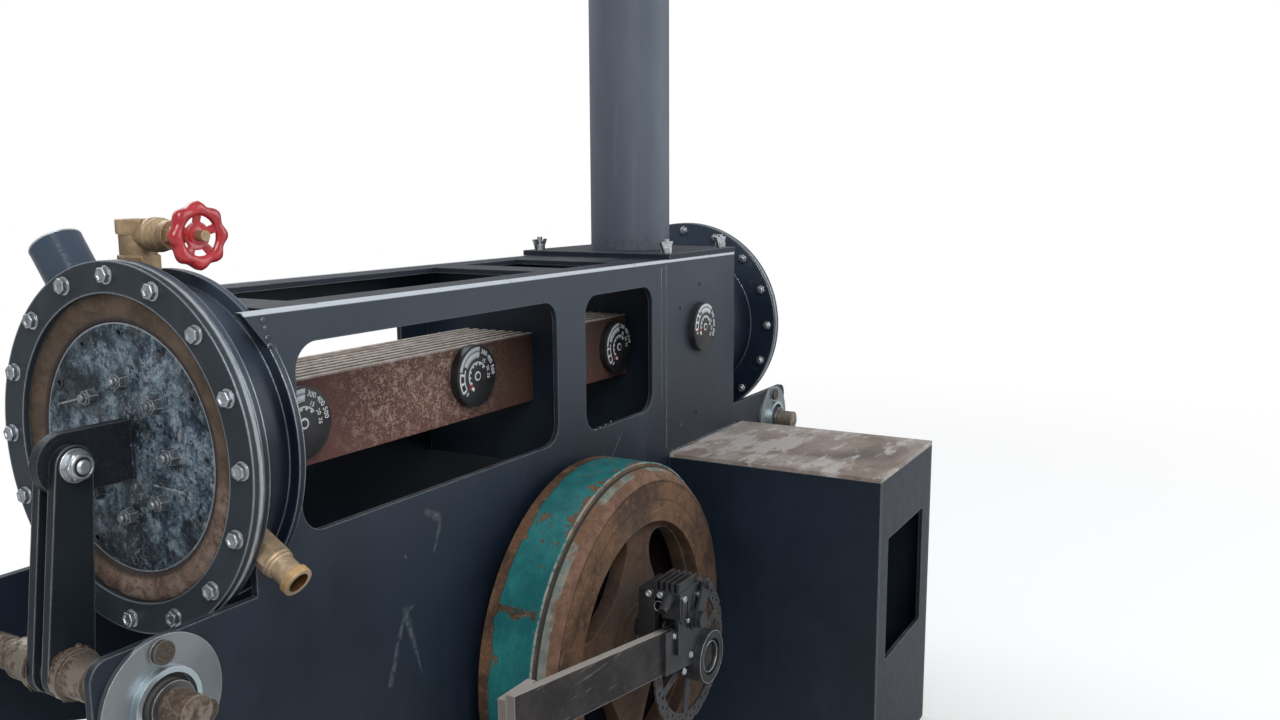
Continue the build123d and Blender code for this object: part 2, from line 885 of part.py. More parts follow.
bar_front = bar_y
bar_back = bar_y + bar_thickness
boss_front = bar_front - outboard_stand_out
shaft_near_end = boss_front + outboard_recess
with BuildPart() as crankshaft:
    with BuildSketch(Plane.XZ.offset(-half_width - crank_far_reach)):
        with Locations((crank_x, crank_z)):
            Circle(crank_radius)
    extrude(amount=half_width + crank_far_reach - shaft_near_end)
crankshaft.part.label = "crankshaft"
export_step(crankshaft.part, "parts/crankshaft.step")

with BuildPart() as main_bearings:
    for face in (-inner_half, half_width):
        with BuildSketch(Plane.XZ.offset(-face)):
            with Locations((crank_x, crank_z)):
                Circle(bearing_radius)
                Circle(crank_radius + bearing_clearance, mode=Mode.SUBTRACT)
        extrude(amount=bearing_race_height, dir=(0, 1, 0))
main_bearings.part.label = "main_bearings"
export_step(main_bearings.part, "parts/main_bearings.step")

# Outboard bar in front of the flywheel, the shaft's end bearing and the bar's stay
bar_hub_x = crank_x - outboard_radius - bar_shaft_gap
bar_slope = (bar_drop_at_end - bar_drop_at_hub) / (crank_x - bar_free_x)


def bar_height_at(x):
    """Height of the bar's middle line at x."""
    return frame_height - bar_drop_at_end + bar_slope * (x - bar_free_x)


with BuildPart() as bar:
    with BuildSketch(Plane.XZ.offset(-bar_back)):
        with BuildLine():
            Polyline(
                (bar_free_x, bar_height_at(bar_free_x) + bar_width / 2),
                (bar_hub_x, bar_height_at(bar_hub_x) + bar_width / 2),
                (bar_hub_x, bar_height_at(bar_hub_x) - bar_width / 2),
                (bar_free_x, bar_height_at(bar_free_x) - bar_width / 2),
                close=True,
            )
        make_face()
    extrude(amount=bar_thickness)
bar.part.label = "outboard_bar"
export_step(bar.part, "parts/outboard_bar.step")

with BuildPart() as outboard:
    plate_x = crank_x - hub_plate_reach
    with BuildSketch(Plane.XZ.offset(-bar_front)):
        with BuildLine():
            Polyline(
                (plate_x, bar_height_at(plate_x) + bar_width / 2),
                (bar_hub_x, crank_z + outboard_radius + hub_plate_rise / 2),
                (crank_x, crank_z + outboard_radius),
                (crank_x, crank_z - outboard_radius),
                (bar_hub_x, bar_height_at(bar_hub_x) - bar_width / 2),
                (plate_x, bar_height_at(plate_x) - bar_width / 2),
                close=True,
            )
        make_face()
        with Locations((crank_x, crank_z)):
            Circle(outboard_radius)
    extrude(amount=hub_plate_thickness)
    with BuildSketch(Plane.XZ.offset(-bar_back)):
        with Locations((crank_x, crank_z)):
            Circle(outboard_radius)
    extrude(amount=bar_back - boss_front)
    with BuildSketch(Plane.XZ.offset(-boss_front)):
        with Locations((crank_x, crank_z)):
            Circle(outboard_recess_radius)
    extrude(amount=-outboard_recess, mode=Mode.SUBTRACT)
    with BuildSketch(Plane.XZ.offset(-bar_back)):
        with Locations((crank_x, crank_z)):
            Circle(crank_radius + outboard_bore_clearance)
    extrude(amount=bar_back - boss_front, mode=Mode.SUBTRACT)
outboard.part.label = "outboard_bearing"
export_step(outboard.part, "parts/outboard_bearing.step")

stay_top = bar_height_at(bar_free_x) + bar_width / 2 - stay_top_gap
stay_back = bar_back + stay_thickness
make_blocks(
    "bar_stay",
    ((bar_free_x, bar_back, 0), (bar_free_x + stay_width, stay_back, stay_top)),
    ((bar_free_x, stay_back, 0), (bar_free_x + stay_width, -half_width, stay_thickness)),
)

# Brake disc on the crankshaft between the flywheel and the bar
disc_front = brake_disc_y - brake_disc_thickness / 2
disc_back = brake_disc_y + brake_disc_thickness / 2
track_inner_radius = brake_disc_radius - brake_track_width
with BuildPart() as brake_disc:
    with BuildSketch(Plane.XZ.offset(-disc_back)):
        with Locations((crank_x, crank_z)):
            Circle(brake_disc_radius)
            Circle(track_inner_radius, mode=Mode.SUBTRACT)
            Circle(brake_disc_hub_radius)
            arm_length = track_inner_radius + brake_track_width / 2
            with PolarLocations(arm_length / 2, brake_disc_arms, start_angle=brake_disc_arm_angle):
                Rectangle(arm_length, brake_disc_arm_width)
            Circle(crank_radius, mode=Mode.SUBTRACT)
    extrude(amount=brake_disc_thickness)
brake_disc.part.label = "brake_disc"
export_step(brake_disc.part, "parts/brake_disc.step")

# Brake caliper astride the disc, on a bracket in front of the hub plate
caliper_x = (crank_x + caliper_start_x, crank_x + caliper_end_x)
bridge_z = crank_z + caliper_bridge_z
bridge_top = bridge_z + caliper_bridge_thickness
outer_pad_y = disc_front - pad_gap
inner_pad_y = disc_back + pad_gap
hub_plate_front = bar_front - hub_plate_thickness
fins_end_x = crank_x + caliper_fin_end_x
barrel_drop = Vector(-1, 0, -barrel_slope).normalized()
arm_pivot = (crank_x + brake_arm_pivot_x, crank_z + brake_arm_pivot_z)
arm_end = (crank_x + brake_arm_end_x, crank_z + brake_arm_end_z)
arm_back = caliper_front_y - brake_boss_height - brake_arm_gap
arm_front = arm_back - brake_arm_thickness
pin_head_back = arm_front - brake_arm_gap

with BuildPart() as caliper:
    for back, front, foot_z in (
        (outer_pad_y, caliper_front_y, crank_z + caliper_foot_z),
        (caliper_back_y, inner_pad_y, crank_z + caliper_back_foot_z),
    ):
        with BuildSketch(Plane.XZ.offset(-back)):
            with BuildLine():
                Polyline(
                    (caliper_x[0], foot_z + caliper_corner),
                    (caliper_x[0] + caliper_corner, foot_z),
                    (caliper_x[1] - caliper_corner, foot_z),
                    (caliper_x[1], foot_z + caliper_corner),
                    (caliper_x[1], bridge_top - caliper_corner),
                    (caliper_x[1] - caliper_corner, bridge_top),
                    (caliper_x[0], bridge_top),
                    close=True,
                )
            make_face()
        extrude(amount=back - front)
    with BuildSketch(Plane.XY.offset(bridge_z)):
        with Locations(
            ((caliper_x[0] + caliper_x[1] - caliper_corner) / 2, (inner_pad_y + outer_pad_y) / 2)
        ):
            Rectangle(caliper_x[1] - caliper_x[0] - caliper_corner, inner_pad_y - outer_pad_y)
    extrude(amount=caliper_bridge_thickness)
    fins_y = caliper_front_y + (caliper_fin_count - 1) * caliper_fin_pitch / 2 + caliper_fin_thickness
    with BuildSketch(Plane.XY.offset(bridge_top)):
        with Locations(((caliper_x[0] + fins_end_x) / 2, fins_y)):
            with GridLocations(0, caliper_fin_pitch, 1, caliper_fin_count):
                Rectangle(fins_end_x - caliper_x[0], caliper_fin_thickness)
    extrude(amount=caliper_fin_height)
    with BuildSketch(Plane.XZ.offset(-hub_plate_front)):
        bracket_x = crank_x + bracket_end_x
        bracket_z = crank_z + bracket_foot_z
        with Locations(((caliper_x[0] + bracket_x) / 2, (bracket_z + bridge_z) / 2)):
            Rectangle(bracket_x - caliper_x[0], bridge_z - bracket_z)
    extrude(amount=bracket_thickness)
    with BuildSketch(Plane.XZ.offset(-caliper_back_y)):
        with Locations((crank_x + caliper_knob_x, crank_z + caliper_knob_z)):
            Circle(caliper_knob_radius)
    extrude(amount=-caliper_knob_length)
    barrel_origin = (crank_x + barrel_x, barrel_y, crank_z + barrel_z)
    with BuildSketch(Plane(origin=barrel_origin, x_dir=(0, 1, 0), z_dir=barrel_drop)):
        Circle(barrel_radius)
    extrude(amount=barrel_length)
    for radius, back, front in (
        (brake_boss_radius, hub_plate_front - bracket_thickness, caliper_front_y - brake_boss_height),
        (brake_pin_radius, caliper_front_y, pin_head_back),
        (brake_pin_head_radius, pin_head_back, pin_head_back - brake_pin_head_height),
    ):
        with BuildSketch(Plane.XZ.offset(-back)):
            with Locations(arm_pivot):
                Circle(radius)
        extrude(amount=back - front)
caliper.part.label = "brake_caliper"
export_step(caliper.part, "parts/brake_caliper.step")

# Brake arm that the cable pulls, turning on the caliper's pin
with BuildPart() as brake_arm:
    with BuildSketch(Plane.XZ.offset(-arm_back)):
        with Locations(arm_pivot):
            Circle(brake_arm_pivot_radius)
        with Locations(arm_end):
            Circle(brake_arm_end_radius)
        make_hull()
        with Locations(arm_pivot):
            Circle(brake_pin_radius + bearing_clearance, mode=Mode.SUBTRACT)
    extrude(amount=brake_arm_thickness)
    with BuildSketch(Plane.XZ.offset(-arm_front)):
        with Locations(arm_end):
            Circle(cable_bolt_radius)
    extrude(amount=cable_bolt_height)
brake_arm.part.label = "brake_arm"
export_step(brake_arm.part, "parts/brake_arm.step")


# Ports on the cold drum: open stub, brass nipple and the gate valve with its handwheel
def trim_to_drum():
    """Cut a port back to the outside of the drum's shell and of its back flange."""
    with Locations(Plane.YZ.offset(cold_drum_back_x)):
        with Locations((0, drum_z)):
            Cylinder(cold_shell_radius + seat_gap, 2 * drum_face_x, mode=Mode.SUBTRACT)
    with Locations(Plane.YZ.offset(cold_drum_back_x - back_flange_thickness - seat_gap)):
        with Locations((0, drum_z)):
            Cylinder(
                cold_drum_radius + seat_gap,
                drum_face_x,
                align=(Align.CENTER, Align.CENTER, Align.MIN),
                mode=Mode.SUBTRACT,
            )


with BuildPart() as stub:
    with BuildSketch(radial_plane(stub_angle, cold_shell_radius - seat_overlap)):
        Circle(stub_radius)
        Circle(stub_radius - stub_wall, mode=Mode.SUBTRACT)
    extrude(amount=stub_length + seat_overlap)
    trim_to_drum()
stub.part.label = "pipe_stub"
export_step(stub.part, "parts/pipe_stub.step")

with BuildPart() as nipple:
    with BuildSketch(radial_plane(nipple_angle, cold_shell_radius - seat_overlap, nipple_x)):
        RegularPolygon(elbow_radius, 6)
        Circle(nipple_radius - nipple_wall, mode=Mode.SUBTRACT)
    extrude(amount=elbow_length + seat_overlap)
    with BuildSketch(radial_plane(nipple_angle, cold_shell_radius + elbow_length, nipple_x)):
        Circle(nipple_radius)
        Circle(nipple_radius - nipple_wall, mode=Mode.SUBTRACT)
    extrude(amount=nipple_length)
    lip_start = cold_shell_radius + elbow_length + nipple_length - nipple_lip_length
    with BuildSketch(radial_plane(nipple_angle, lip_start, nipple_x)):
        Circle(nipple_lip_radius)
        Circle(nipple_radius - nipple_wall, mode=Mode.SUBTRACT)
    extrude(amount=nipple_lip_length)
    trim_to_drum()
nipple.part.label = "brass_nipple"
export_step(nipple.part, "parts/brass_nipple.step")

valve_foot_z = drum_z + cold_drum_radius
valve_top_z = valve_foot_z + valve_stack_height
stem_z = valve_foot_z + stem_rise
bonnet_y = valve_y - valve_body_width / 2 - valve_bonnet_length
socket_spans = (
    (valve_foot_z - seat_overlap, valve_foot_z + valve_socket_height),
    (valve_top_z - valve_socket_height, valve_top_z),
)
with BuildPart() as valve:
    for low, high in socket_spans:
        with BuildSketch(Plane.XY.offset(low)):
            with Locations((port_x, valve_y)):
                RegularPolygon(valve_body_width / 2, 6)
        extrude(amount=high - low)
    with BuildSketch(Plane.XY.offset(drum_z + cold_shell_radius - seat_overlap)):
        with Locations((port_x, valve_y)):
            Circle(valve_neck_radius)
    extrude(amount=cold_drum_radius - cold_shell_radius + seat_overlap)
    with BuildSketch(Plane.XY.offset(valve_foot_z)):
        with Locations((port_x, valve_y)):
            Circle(valve_body_width / 2 - valve_waist_inset)
    extrude(amount=valve_stack_height)
    with BuildSketch(Plane.XZ.offset(-valve_y)):
        with Locations((port_x, stem_z)):
            Circle(valve_bonnet_radius)
    extrude(amount=valve_y - bonnet_y)
    with BuildSketch(Plane.XZ.offset(-bonnet_y)):
        with Locations((port_x, stem_z)):
            Circle(valve_stem_radius)
    extrude(amount=valve_stem_length)
    with BuildSketch(Plane.XY.offset(valve_top_z)):
        with Locations((port_x, valve_y)):
            Circle(valve_bore_radius)
    extrude(amount=-valve_socket_height, mode=Mode.SUBTRACT)
    trim_to_drum()
valve.part.label = "gate_valve"
export_step(valve.part, "parts/gate_valve.step")

wheel_front_y = bonnet_y - valve_stem_length + stem_stand_out
with BuildPart() as handwheel:
    with BuildSketch(Plane.XZ.offset(-wheel_front_y - handwheel_thickness)):
        with Locations((port_x, stem_z)):
            Circle(handwheel_radius)
            with PolarLocations(handwheel_lobe_place_radius, handwheel_lobes):
                Circle(handwheel_lobe_radius)
            Circle(handwheel_radius - handwheel_rim, mode=Mode.SUBTRACT)
            Circle(handwheel_boss)
            with PolarLocations(handwheel_radius / 2, handwheel_spokes):
                Rectangle(handwheel_radius - handwheel_rim / 2, handwheel_spoke_width)
            Circle(valve_stem_radius + bearing_clearance, mode=Mode.SUBTRACT)
    extrude(amount=handwheel_thickness)
handwheel.part.label = "valve_handwheel"
export_step(handwheel.part, "parts/valve_handwheel.step")
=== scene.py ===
import random
from math import atan2, cos, hypot, pi, radians, sin

import bmesh
import bpy
from mathutils import Matrix, Vector


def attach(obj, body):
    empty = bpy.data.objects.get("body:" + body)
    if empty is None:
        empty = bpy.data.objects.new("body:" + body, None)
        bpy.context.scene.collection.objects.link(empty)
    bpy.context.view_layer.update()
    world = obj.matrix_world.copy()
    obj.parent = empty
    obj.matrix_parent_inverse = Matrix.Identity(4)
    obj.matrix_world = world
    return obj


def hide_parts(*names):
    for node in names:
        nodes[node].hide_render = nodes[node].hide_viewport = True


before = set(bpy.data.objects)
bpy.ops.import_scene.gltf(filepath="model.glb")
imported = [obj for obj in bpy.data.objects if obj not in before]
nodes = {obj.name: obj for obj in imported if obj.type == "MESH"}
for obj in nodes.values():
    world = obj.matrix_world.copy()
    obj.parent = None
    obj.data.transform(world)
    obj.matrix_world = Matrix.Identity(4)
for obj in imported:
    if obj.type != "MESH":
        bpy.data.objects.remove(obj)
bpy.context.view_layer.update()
random.seed(7)

# Places on the engine, in metres
DRUM_Z = 0.514
RING_FACE = 0.474
PISTON_FACE = 0.467
PISTON_PROUD = PISTON_FACE + 0.0004
STUD_END = PISTON_FACE + 0.011
FLANGE_BACK = 0.459
LEATHER_X = 0.4665
BOLT_CIRCLE, STUD_CIRCLE, RIM_CIRCLE = 0.1315, 0.052, 0.088
ROCKER = (0.534, 0.3645)
PIVOT_X = 0.519
CRANK = (-0.02, 0.234)
STACK_TOP = 0.551
STACK_DIAL_FACE, HOT_BOX_DIAL_FACE = -0.054, -0.117
FRAME_TOP = 0.62
HUB_PLATE_FACE, CALIPER_FACE = -0.268, -0.274
DISC_Y = -0.2498
PLATE_Y = -0.108
BEARING_FACE = 0.1123
PORT_X = -0.438
VALVE_Y, VALVE_Z = 0.01, 0.6735
HANDWHEEL_BACK = -0.054
STUB_ANGLE = radians(36.5)
STUB_LENGTH = 0.187
NIPPLE_ANGLE = radians(-120)
HEX_TURN = radians(30)
ENDS = (("cold", -1), ("hot", 1))


# Camera, floor and light
def set_camera():
    """Camera where the photograph was taken from."""
    yaw, pitch, roll = radians(29.24), radians(8.749), radians(0.297)
    forward = Vector((cos(yaw) * cos(pitch), sin(yaw) * cos(pitch), -sin(pitch)))
    right = Vector((sin(yaw), -cos(yaw), 0))
    down = forward.cross(right)
    right, down = cos(roll) * right + sin(roll) * down, cos(roll) * down - sin(roll) * right
    turned = Matrix((right, -down, -forward)).transposed().to_4x4()
    lens = bpy.data.cameras.new("photo_view")
    lens.sensor_width = 36
    lens.lens = 31.356
    lens.clip_start = 0.02
    camera = bpy.data.objects.new("photo_view", lens)
    camera.matrix_world = Matrix.Translation((-0.9949, -0.7387, 0.706)) @ turned
    bpy.context.collection.objects.link(camera)
    bpy.context.scene.camera = camera


def add_lamp(name, place, aim, watts, tint):
    """Square soft lamp pointed at a place."""
    light = bpy.data.lights.new(name, "AREA")
    light.shape = "SQUARE"
    light.size = 2.6
    light.energy = watts
    light.color = tint
    lamp = bpy.data.objects.new(name, light)
    lamp.location = place
    lamp.rotation_euler = (Vector(aim) - Vector(place)).to_track_quat("-Z", "Y").to_euler()
    bpy.context.collection.objects.link(lamp)


def sum_node(operation, swapped=False):
    """Field method that adds a Math node; swapped puts the field itself second."""
    def method(self, *other):
        values = (*other, self) if swapped else (self, *other)
        return self.finish.node("ShaderNodeMath", {"operation": operation}, dict(enumerate(values)))
    return method


class Field:
    """A socket of one finish. Sums, products and comparisons with it add Math nodes."""

    __add__ = __radd__ = sum_node("ADD")
    __mul__ = __rmul__ = sum_node("MULTIPLY")
    __sub__, __rsub__ = sum_node("SUBTRACT"), sum_node("SUBTRACT", True)
    __truediv__, __gt__, __lt__ = sum_node("DIVIDE"), sum_node("GREATER_THAN"), sum_node("LESS_THAN")
    __abs__, root, least, most = sum_node("ABSOLUTE"), sum_node("SQRT"), sum_node("MINIMUM"), sum_node("MAXIMUM")

    def __init__(self, finish, socket):
        self.finish = finish
        self.socket = socket

    def rise(self, low, high):
        """0 below low, 1 above high, smooth between; falls where high is under low."""
        ends = {0: self, 1: min(low, high), 2: max(low, high)}
        risen = self.finish.node("ShaderNodeMapRange", {"interpolation_type": "SMOOTHSTEP"}, ends)
        return risen if high > low else 1 - risen

    def band(self, low, high, soft):
        """1 between low and high, 0 outside, with soft sides."""
        return self.rise(low - soft, low + soft) * self.rise(high + soft, high - soft)


class Finish:
    """A material: its shader, its colour so far, and the nodes that paint it."""

    def __init__(self, name, colour=(0.5, 0.5, 0.5), roughness=0.5, metallic=0.0, **constants):
        self.material = bpy.data.materials.new(name)
        self.material.use_nodes = True
        self.tree = self.material.node_tree
        self.shader = self.tree.nodes["Principled BSDF"]
        self.put(Base_Color=colour, Roughness=roughness, Metallic=metallic, **constants)
        self.place = self.node("ShaderNodeTexCoord", out="Object")
        self.axes = self.parts(self.place)

    def join(self, value, socket):
        """Link a field to a socket, or set the socket to a plain value."""
        if isinstance(value, Field):
            self.tree.links.new(value.socket, socket)
        elif isinstance(value, tuple):
            socket.default_value = [*value, 1][: len(socket.default_value)]
        else:
            socket.default_value = value

    def put(self, **values):
        """Values or fields for the shader's sockets."""
        for socket, value in values.items():
            self.join(value, self.shader.inputs[socket.replace("_", " ")])

    def node(self, kind, settings=None, inputs=None, out=0):
        """Any node: its settings first, then the values or links of its sockets."""
        new = self.tree.nodes.new(kind)
        for key, value in (settings or {}).items():
            setattr(new, key, value)
        for key, value in (inputs or {}).items():
            self.join(value, new.inputs[key])
        return Field(self, new.outputs[out])

    def parts(self, vector):
        """x, y and z of a vector."""
        split = self.node("ShaderNodeSeparateXYZ", {}, {0: vector}).socket.node
        return [Field(self, socket) for socket in split.outputs]

    def facing(self):
        """x, y and z of the true surface normal."""
        return self.parts(self.node("ShaderNodeNewGeometry", out="True Normal"))

    def noise(self, scale, detail=3.0, rough=0.55, bend=0.0, shift=(0, 0, 0), turn=(0, 0, 0), stretch=(1, 1, 1)):
        """Cloudy noise about 0.5; scale counts its lumps in a metre."""
        place = self.place
        if (shift, turn, stretch) != ((0, 0, 0), (0, 0, 0), (1, 1, 1)):
            place = self.node("ShaderNodeMapping", {}, {0: place, 1: shift, 2: turn, 3: stretch})
        inputs = {"Vector": place, "Scale": scale, "Detail": detail, "Roughness": rough, "Distortion": bend}
        return self.node("ShaderNodeTexNoise", {}, inputs)

    def noises(self, *kinds):
        return [self.noise(*kind) for kind in kinds]

    def blend(self, mask, under, over):
        """Colour under, with colour over where the mask is 1."""
        settings = {"data_type": "RGBA", "clamp_factor": True}
        return self.node("ShaderNodeMix", settings, {0: mask, 6: under, 7: over}, 2)

    def coat(self, mask, over):
        """Lay a colour over the finish where the mask is 1."""
        self.colour = self.blend(mask, self.colour, over)

    def ramp(self, value, *stops):
        """Colours at stops along a field."""
        ramp = self.node("ShaderNodeValToRGB", {}, {0: value})
        elements = ramp.socket.node.color_ramp.elements
        while len(elements) < len(stops):
            elements.new(1)
        for element, (place, colour) in zip(elements, stops):
            element.position = place
            element.color = (*colour, 1)
        return ramp

    def edge(self, reach):
        """How near a sharp edge is, 0 on a flat face."""
        pair = {0: self.rounded(reach), 1: self.node("ShaderNodeNewGeometry", out="True Normal")}
        return 1 - self.node("ShaderNodeVectorMath", {"operation": "DOT_PRODUCT"}, pair, "Value")

    def rounded(self, radius):
        """Normals with the edges rounded."""
        return self.node("ShaderNodeBevel", {"samples": 4}, {"Radius": radius})

    def surface(self, rough, height=None, depth=0.0, rounding=0.0, **values):
        """Lay on the colour and roughness, and raise the surface by depth metres where height is 1."""
        self.put(Base_Color=self.colour, Roughness=rough, **values)
        if height:
            inputs = {"Height": height, "Distance": depth, "Strength": 1.0}
            if rounding:
                inputs["Normal"] = self.rounded(rounding)
            self.put(Normal=self.node("ShaderNodeBump", {}, inputs))
        return self

    def radius_from(self, x, z):
        """Distance from an axis across the engine at x and z."""
        across, up = self.axes[0] - x, self.axes[2] - z
        return (across * across + up * up).root()

    def drum_radius(self):
        """Distance from the drums' axis."""
        y, up = self.axes[1], self.axes[2] - DRUM_Z
        return (y * y + up * up).root()

    def stroke(self, start, end, width, axes=(0, 2), taper=0.0):
        """1 on a soft straight mark between two places, seen along the left-out axis."""
        (u0, v0), (u1, v1) = start, end
        length = hypot(u1 - u0, v1 - v0)
        du, dv = (u1 - u0) / length, (v1 - v0) / length
        u, v = self.axes[axes[0]] - u0, self.axes[axes[1]] - v0
        along, aside = u * du + v * dv, abs(v * du - u * dv)
        if taper:
            aside = aside / (1 - along * (taper / length)).most(0.15)
        return aside.rise(width, width * 0.2) * along.band(0, length, width)


set_camera()

# Pale floor that fades to white far from the engine
ground = Finish("studio_floor", (0.9, 0.9, 0.89), 0.9)
x, y, z = ground.axes
rays = ground.node("ShaderNodeLightPath", out="Is Camera Ray")
ground.put(Base_Color=ground.blend(rays, (0.62, 0.62, 0.61), (0.98, 0.98, 0.98)))
white = ground.node("ShaderNodeEmission", {}, {"Color": (1, 1, 1), "Strength": 1.0})
shaders = {0: (x * x + y * y).root().rise(0.9, 3.2) * rays, 1: Field(ground, ground.shader.outputs[0]), 2: white}
ground.join(ground.node("ShaderNodeMixShader", {}, shaders), ground.tree.nodes["Material Output"].inputs["Surface"])
bpy.ops.object.select_all(action="DESELECT")
bpy.ops.mesh.primitive_plane_add(size=60, location=(0, 0, 0))
floor = bpy.context.active_object
floor.name = "studio_floor"
floor.data.materials.append(ground.material)

add_lamp("key_lamp", (-2.6, -2.8, 3.4), (0, 0, 0.4), 125, (1.0, 0.99, 0.98))
add_lamp("fill_lamp", (2.8, -3.0, 1.8), (0.1, 0, 0.4), 42, (0.95, 0.98, 1.0))
add_lamp("back_lamp", (0.6, 3.0, 3.0), (0, 0, 0.4), 60, (0.95, 0.98, 1.0))

world = bpy.data.worlds.new("pale_studio")
world.use_nodes = True
bpy.context.scene.world = world
sky = world.node_tree.nodes["Background"]
sky.inputs["Color"].default_value = (0.97, 0.98, 1.0, 1)
rays = world.node_tree.nodes.new("ShaderNodeLightPath")
level = world.node_tree.nodes.new("ShaderNodeMapRange")
level.inputs["To Min"].default_value = 0.5
level.inputs["To Max"].default_value = 1.05
world.node_tree.links.new(rays.outputs["Is Camera Ray"], level.inputs["Value"])
world.node_tree.links.new(level.outputs["Result"], sky.inputs["Strength"])
bpy.context.scene.view_settings.view_transform = "Standard"


# Finishes of the painted plate
def satin_black(name, tone=(0.01, 0.018, 0.033), chips=0.6, marks=None, soft=0.0006, dust=0.5, top=0.0, wear=0.0,
                rough=0.42, bare=(0.42, 0.44, 0.46), sky_sheen=0.0):
    """Satin blue-black paint with bright chipped edges, dust on its tops and pale scuffs; where asked, a painted sky
    reflection on the upper part, and painted light on the near plate's upper face with a painted sky reflection along
    its top edge.
    """
    paint = Finish(name, tone, 0.5, Specular_IOR_Level=0.34)
    x, y, z = paint.axes
    cloud, grain, fine = paint.noises((7, 4, 0.6), (55, 4, 0.65), (420, 2, 0.5))
    runs = paint.noise(26, 3, 0.6, stretch=(1, 1, 0.25))
    near_edge = paint.edge(0.0024)
    chipped = (near_edge + (grain - 0.5) * 0.42 + (fine - 0.5) * 0.25 + wear).rise(0.14, 0.27)
    chipped = chipped * near_edge.rise(0.02, 0.08)
    up = paint.facing()[2]
    dusty = up.rise(0.5, 0.95) * (cloud * 0.6 + grain * 0.5).rise(0.42, 0.75)
    pale = tuple(c * 1.7 + 0.006 for c in tone)
    deep = tuple(c * 0.66 for c in tone)
    paint.colour = paint.blend(cloud.rise(0.35, 0.68), deep, tone)
    paint.coat(runs.rise(0.54, 0.8) * 0.3, pale)
    paint.coat(dusty * dust, (0.115, 0.125, 0.135))
    scuff = paint.noise(90, 5, 0.7, bend=1.5).rise(0.64, 0.74) * cloud.rise(0.5, 0.7) * 0.25
    if marks:
        scuff = scuff.most(marks(paint) * paint.noise(170, 4, 0.7, bend=0.8).rise(0.3, 0.7))
    paint.coat(scuff, (0.14, 0.16, 0.18))
    # Painted sky reflection: the upper part of a drum or stub lightened towards blue-grey by height.
    if sky_sheen:
        paint.coat(z.rise(DRUM_Z + 0.02, DRUM_Z + 0.125) * (0.5 + cloud * 0.6) * sky_sheen, (0.085, 0.115, 0.16))
    paint.coat(chipped * chips, bare)
    if top:
        # Painted light: the upper part of the near plate's outer face lightened towards the top, unevenly.
        lit_upper_plate = z.rise(top - 0.24, top - 0.01) * (0.55 + cloud * 0.5) * y.rise(-0.105, -0.107)
        paint.coat(lit_upper_plate * 0.7, (0.058, 0.073, 0.096))
        # Painted sky reflection on the plate's top face and the upper rim of its outer face, broken up by the grain.
        top_edge_sky_sheen = up.rise(0.8, 0.95) * z.rise(top - 0.002, top - 0.0005)
        top_edge_sky_sheen = top_edge_sky_sheen.most(z.rise(top - 0.0036, top - 0.0024) * abs(y).rise(0.1062, 0.1076))
        paint.coat(top_edge_sky_sheen * grain.rise(0.26, 0.4), (0.55, 0.6, 0.66))
    return paint.surface(
        rough + grain * 0.16 + dusty * 0.25 - chipped * 0.08,
        fine * 0.4 + grain * 0.5 - chipped * 0.8, 0.0004, soft, Metallic=chipped * chips,
    )


def plate_marks(paint):
    """Scuffs and scratches of the near side plate."""
    marks = paint.stroke((-0.2885, 0.3455), (-0.269, 0.279), 0.0062, taper=0.85)
    for start, end, width, taper in (
        ((-0.29, 0.34), (-0.311, 0.284), 0.003, -0.6),
        ((-0.286, 0.343), (-0.277, 0.346), 0.003, 0.3),
        ((-0.2563, 0.4255), (-0.2385, 0.415), 0.0045, -0.3),
        ((-0.2385, 0.416), (-0.2385, 0.404), 0.0038, 0.2),
        ((-0.2385, 0.406), (-0.2475, 0.386), 0.0034, 0.5),
        ((-0.286, 0.3935), (-0.2845, 0.391), 0.0022, 0.0),
        ((0.09, 0.43), (0.06, 0.4), 0.0016, 0.0),
        ((0.236, 0.56), (0.241, 0.556), 0.0035, 0.0),
        ((0.236, 0.412), (0.24, 0.408), 0.003, 0.0),
    ):
        marks = marks.most(paint.stroke(start, end, width, taper=taper))
    return marks * 0.6


def shell_marks(paint):
    """Small pale scratches in swarms on the drum shell."""
    return paint.noise(75, 4, 0.7, bend=0.6).rise(0.61, 0.66) * paint.noise(9, 3).rise(0.47, 0.62) * 0.8


def rusty_steel(name, bright=(0.3, 0.27, 0.24), brown=(0.13, 0.075, 0.045), cover=0.5, scale=40, shine=0.9,
                recess_shade_before=None):
    """Bare steel with brown rust in patches and fine scratches, and where asked its end past a given y painted dark as
    shade inside a recess.
    """
    steel = Finish(name, bright, 0.5, 0.6)
    patch, fine = steel.noises((scale, 5, 0.65), (scale * 9, 3, 0.6))
    scratch = steel.noise(60, 2, 0.5, stretch=(1, 6, 12)).rise(0.62, 0.7)
    rusted = (patch + (fine - 0.5) * 0.4).rise(0.62 - cover * 0.4, 0.78 - cover * 0.4)
    brown_mix = steel.blend(fine.rise(0.35, 0.7), brown, tuple(c * 0.5 for c in brown))
    steel.colour = steel.blend(rusted, bright, brown_mix)
    worn = steel.edge(0.002).rise(0.05, 0.3) * patch.rise(0.35, 0.6)
    steel.coat((scratch * 0.4).most(worn * 0.7), tuple(min(1, c * 1.7) for c in bright))
    # Painted shade: the shaft's end past the given y, inside a bearing's recess, painted near black.
    if recess_shade_before is not None:
        steel.coat(steel.axes[1].rise(recess_shade_before, recess_shade_before - 0.002), (0.022, 0.02, 0.02))
    return steel.surface(
        0.36 + rusted * 0.4 + fine * 0.12,
        fine * 0.5 + rusted * 0.7, 0.0003, 0.0005, Metallic=shine - rusted * (shine * 0.9),
    )


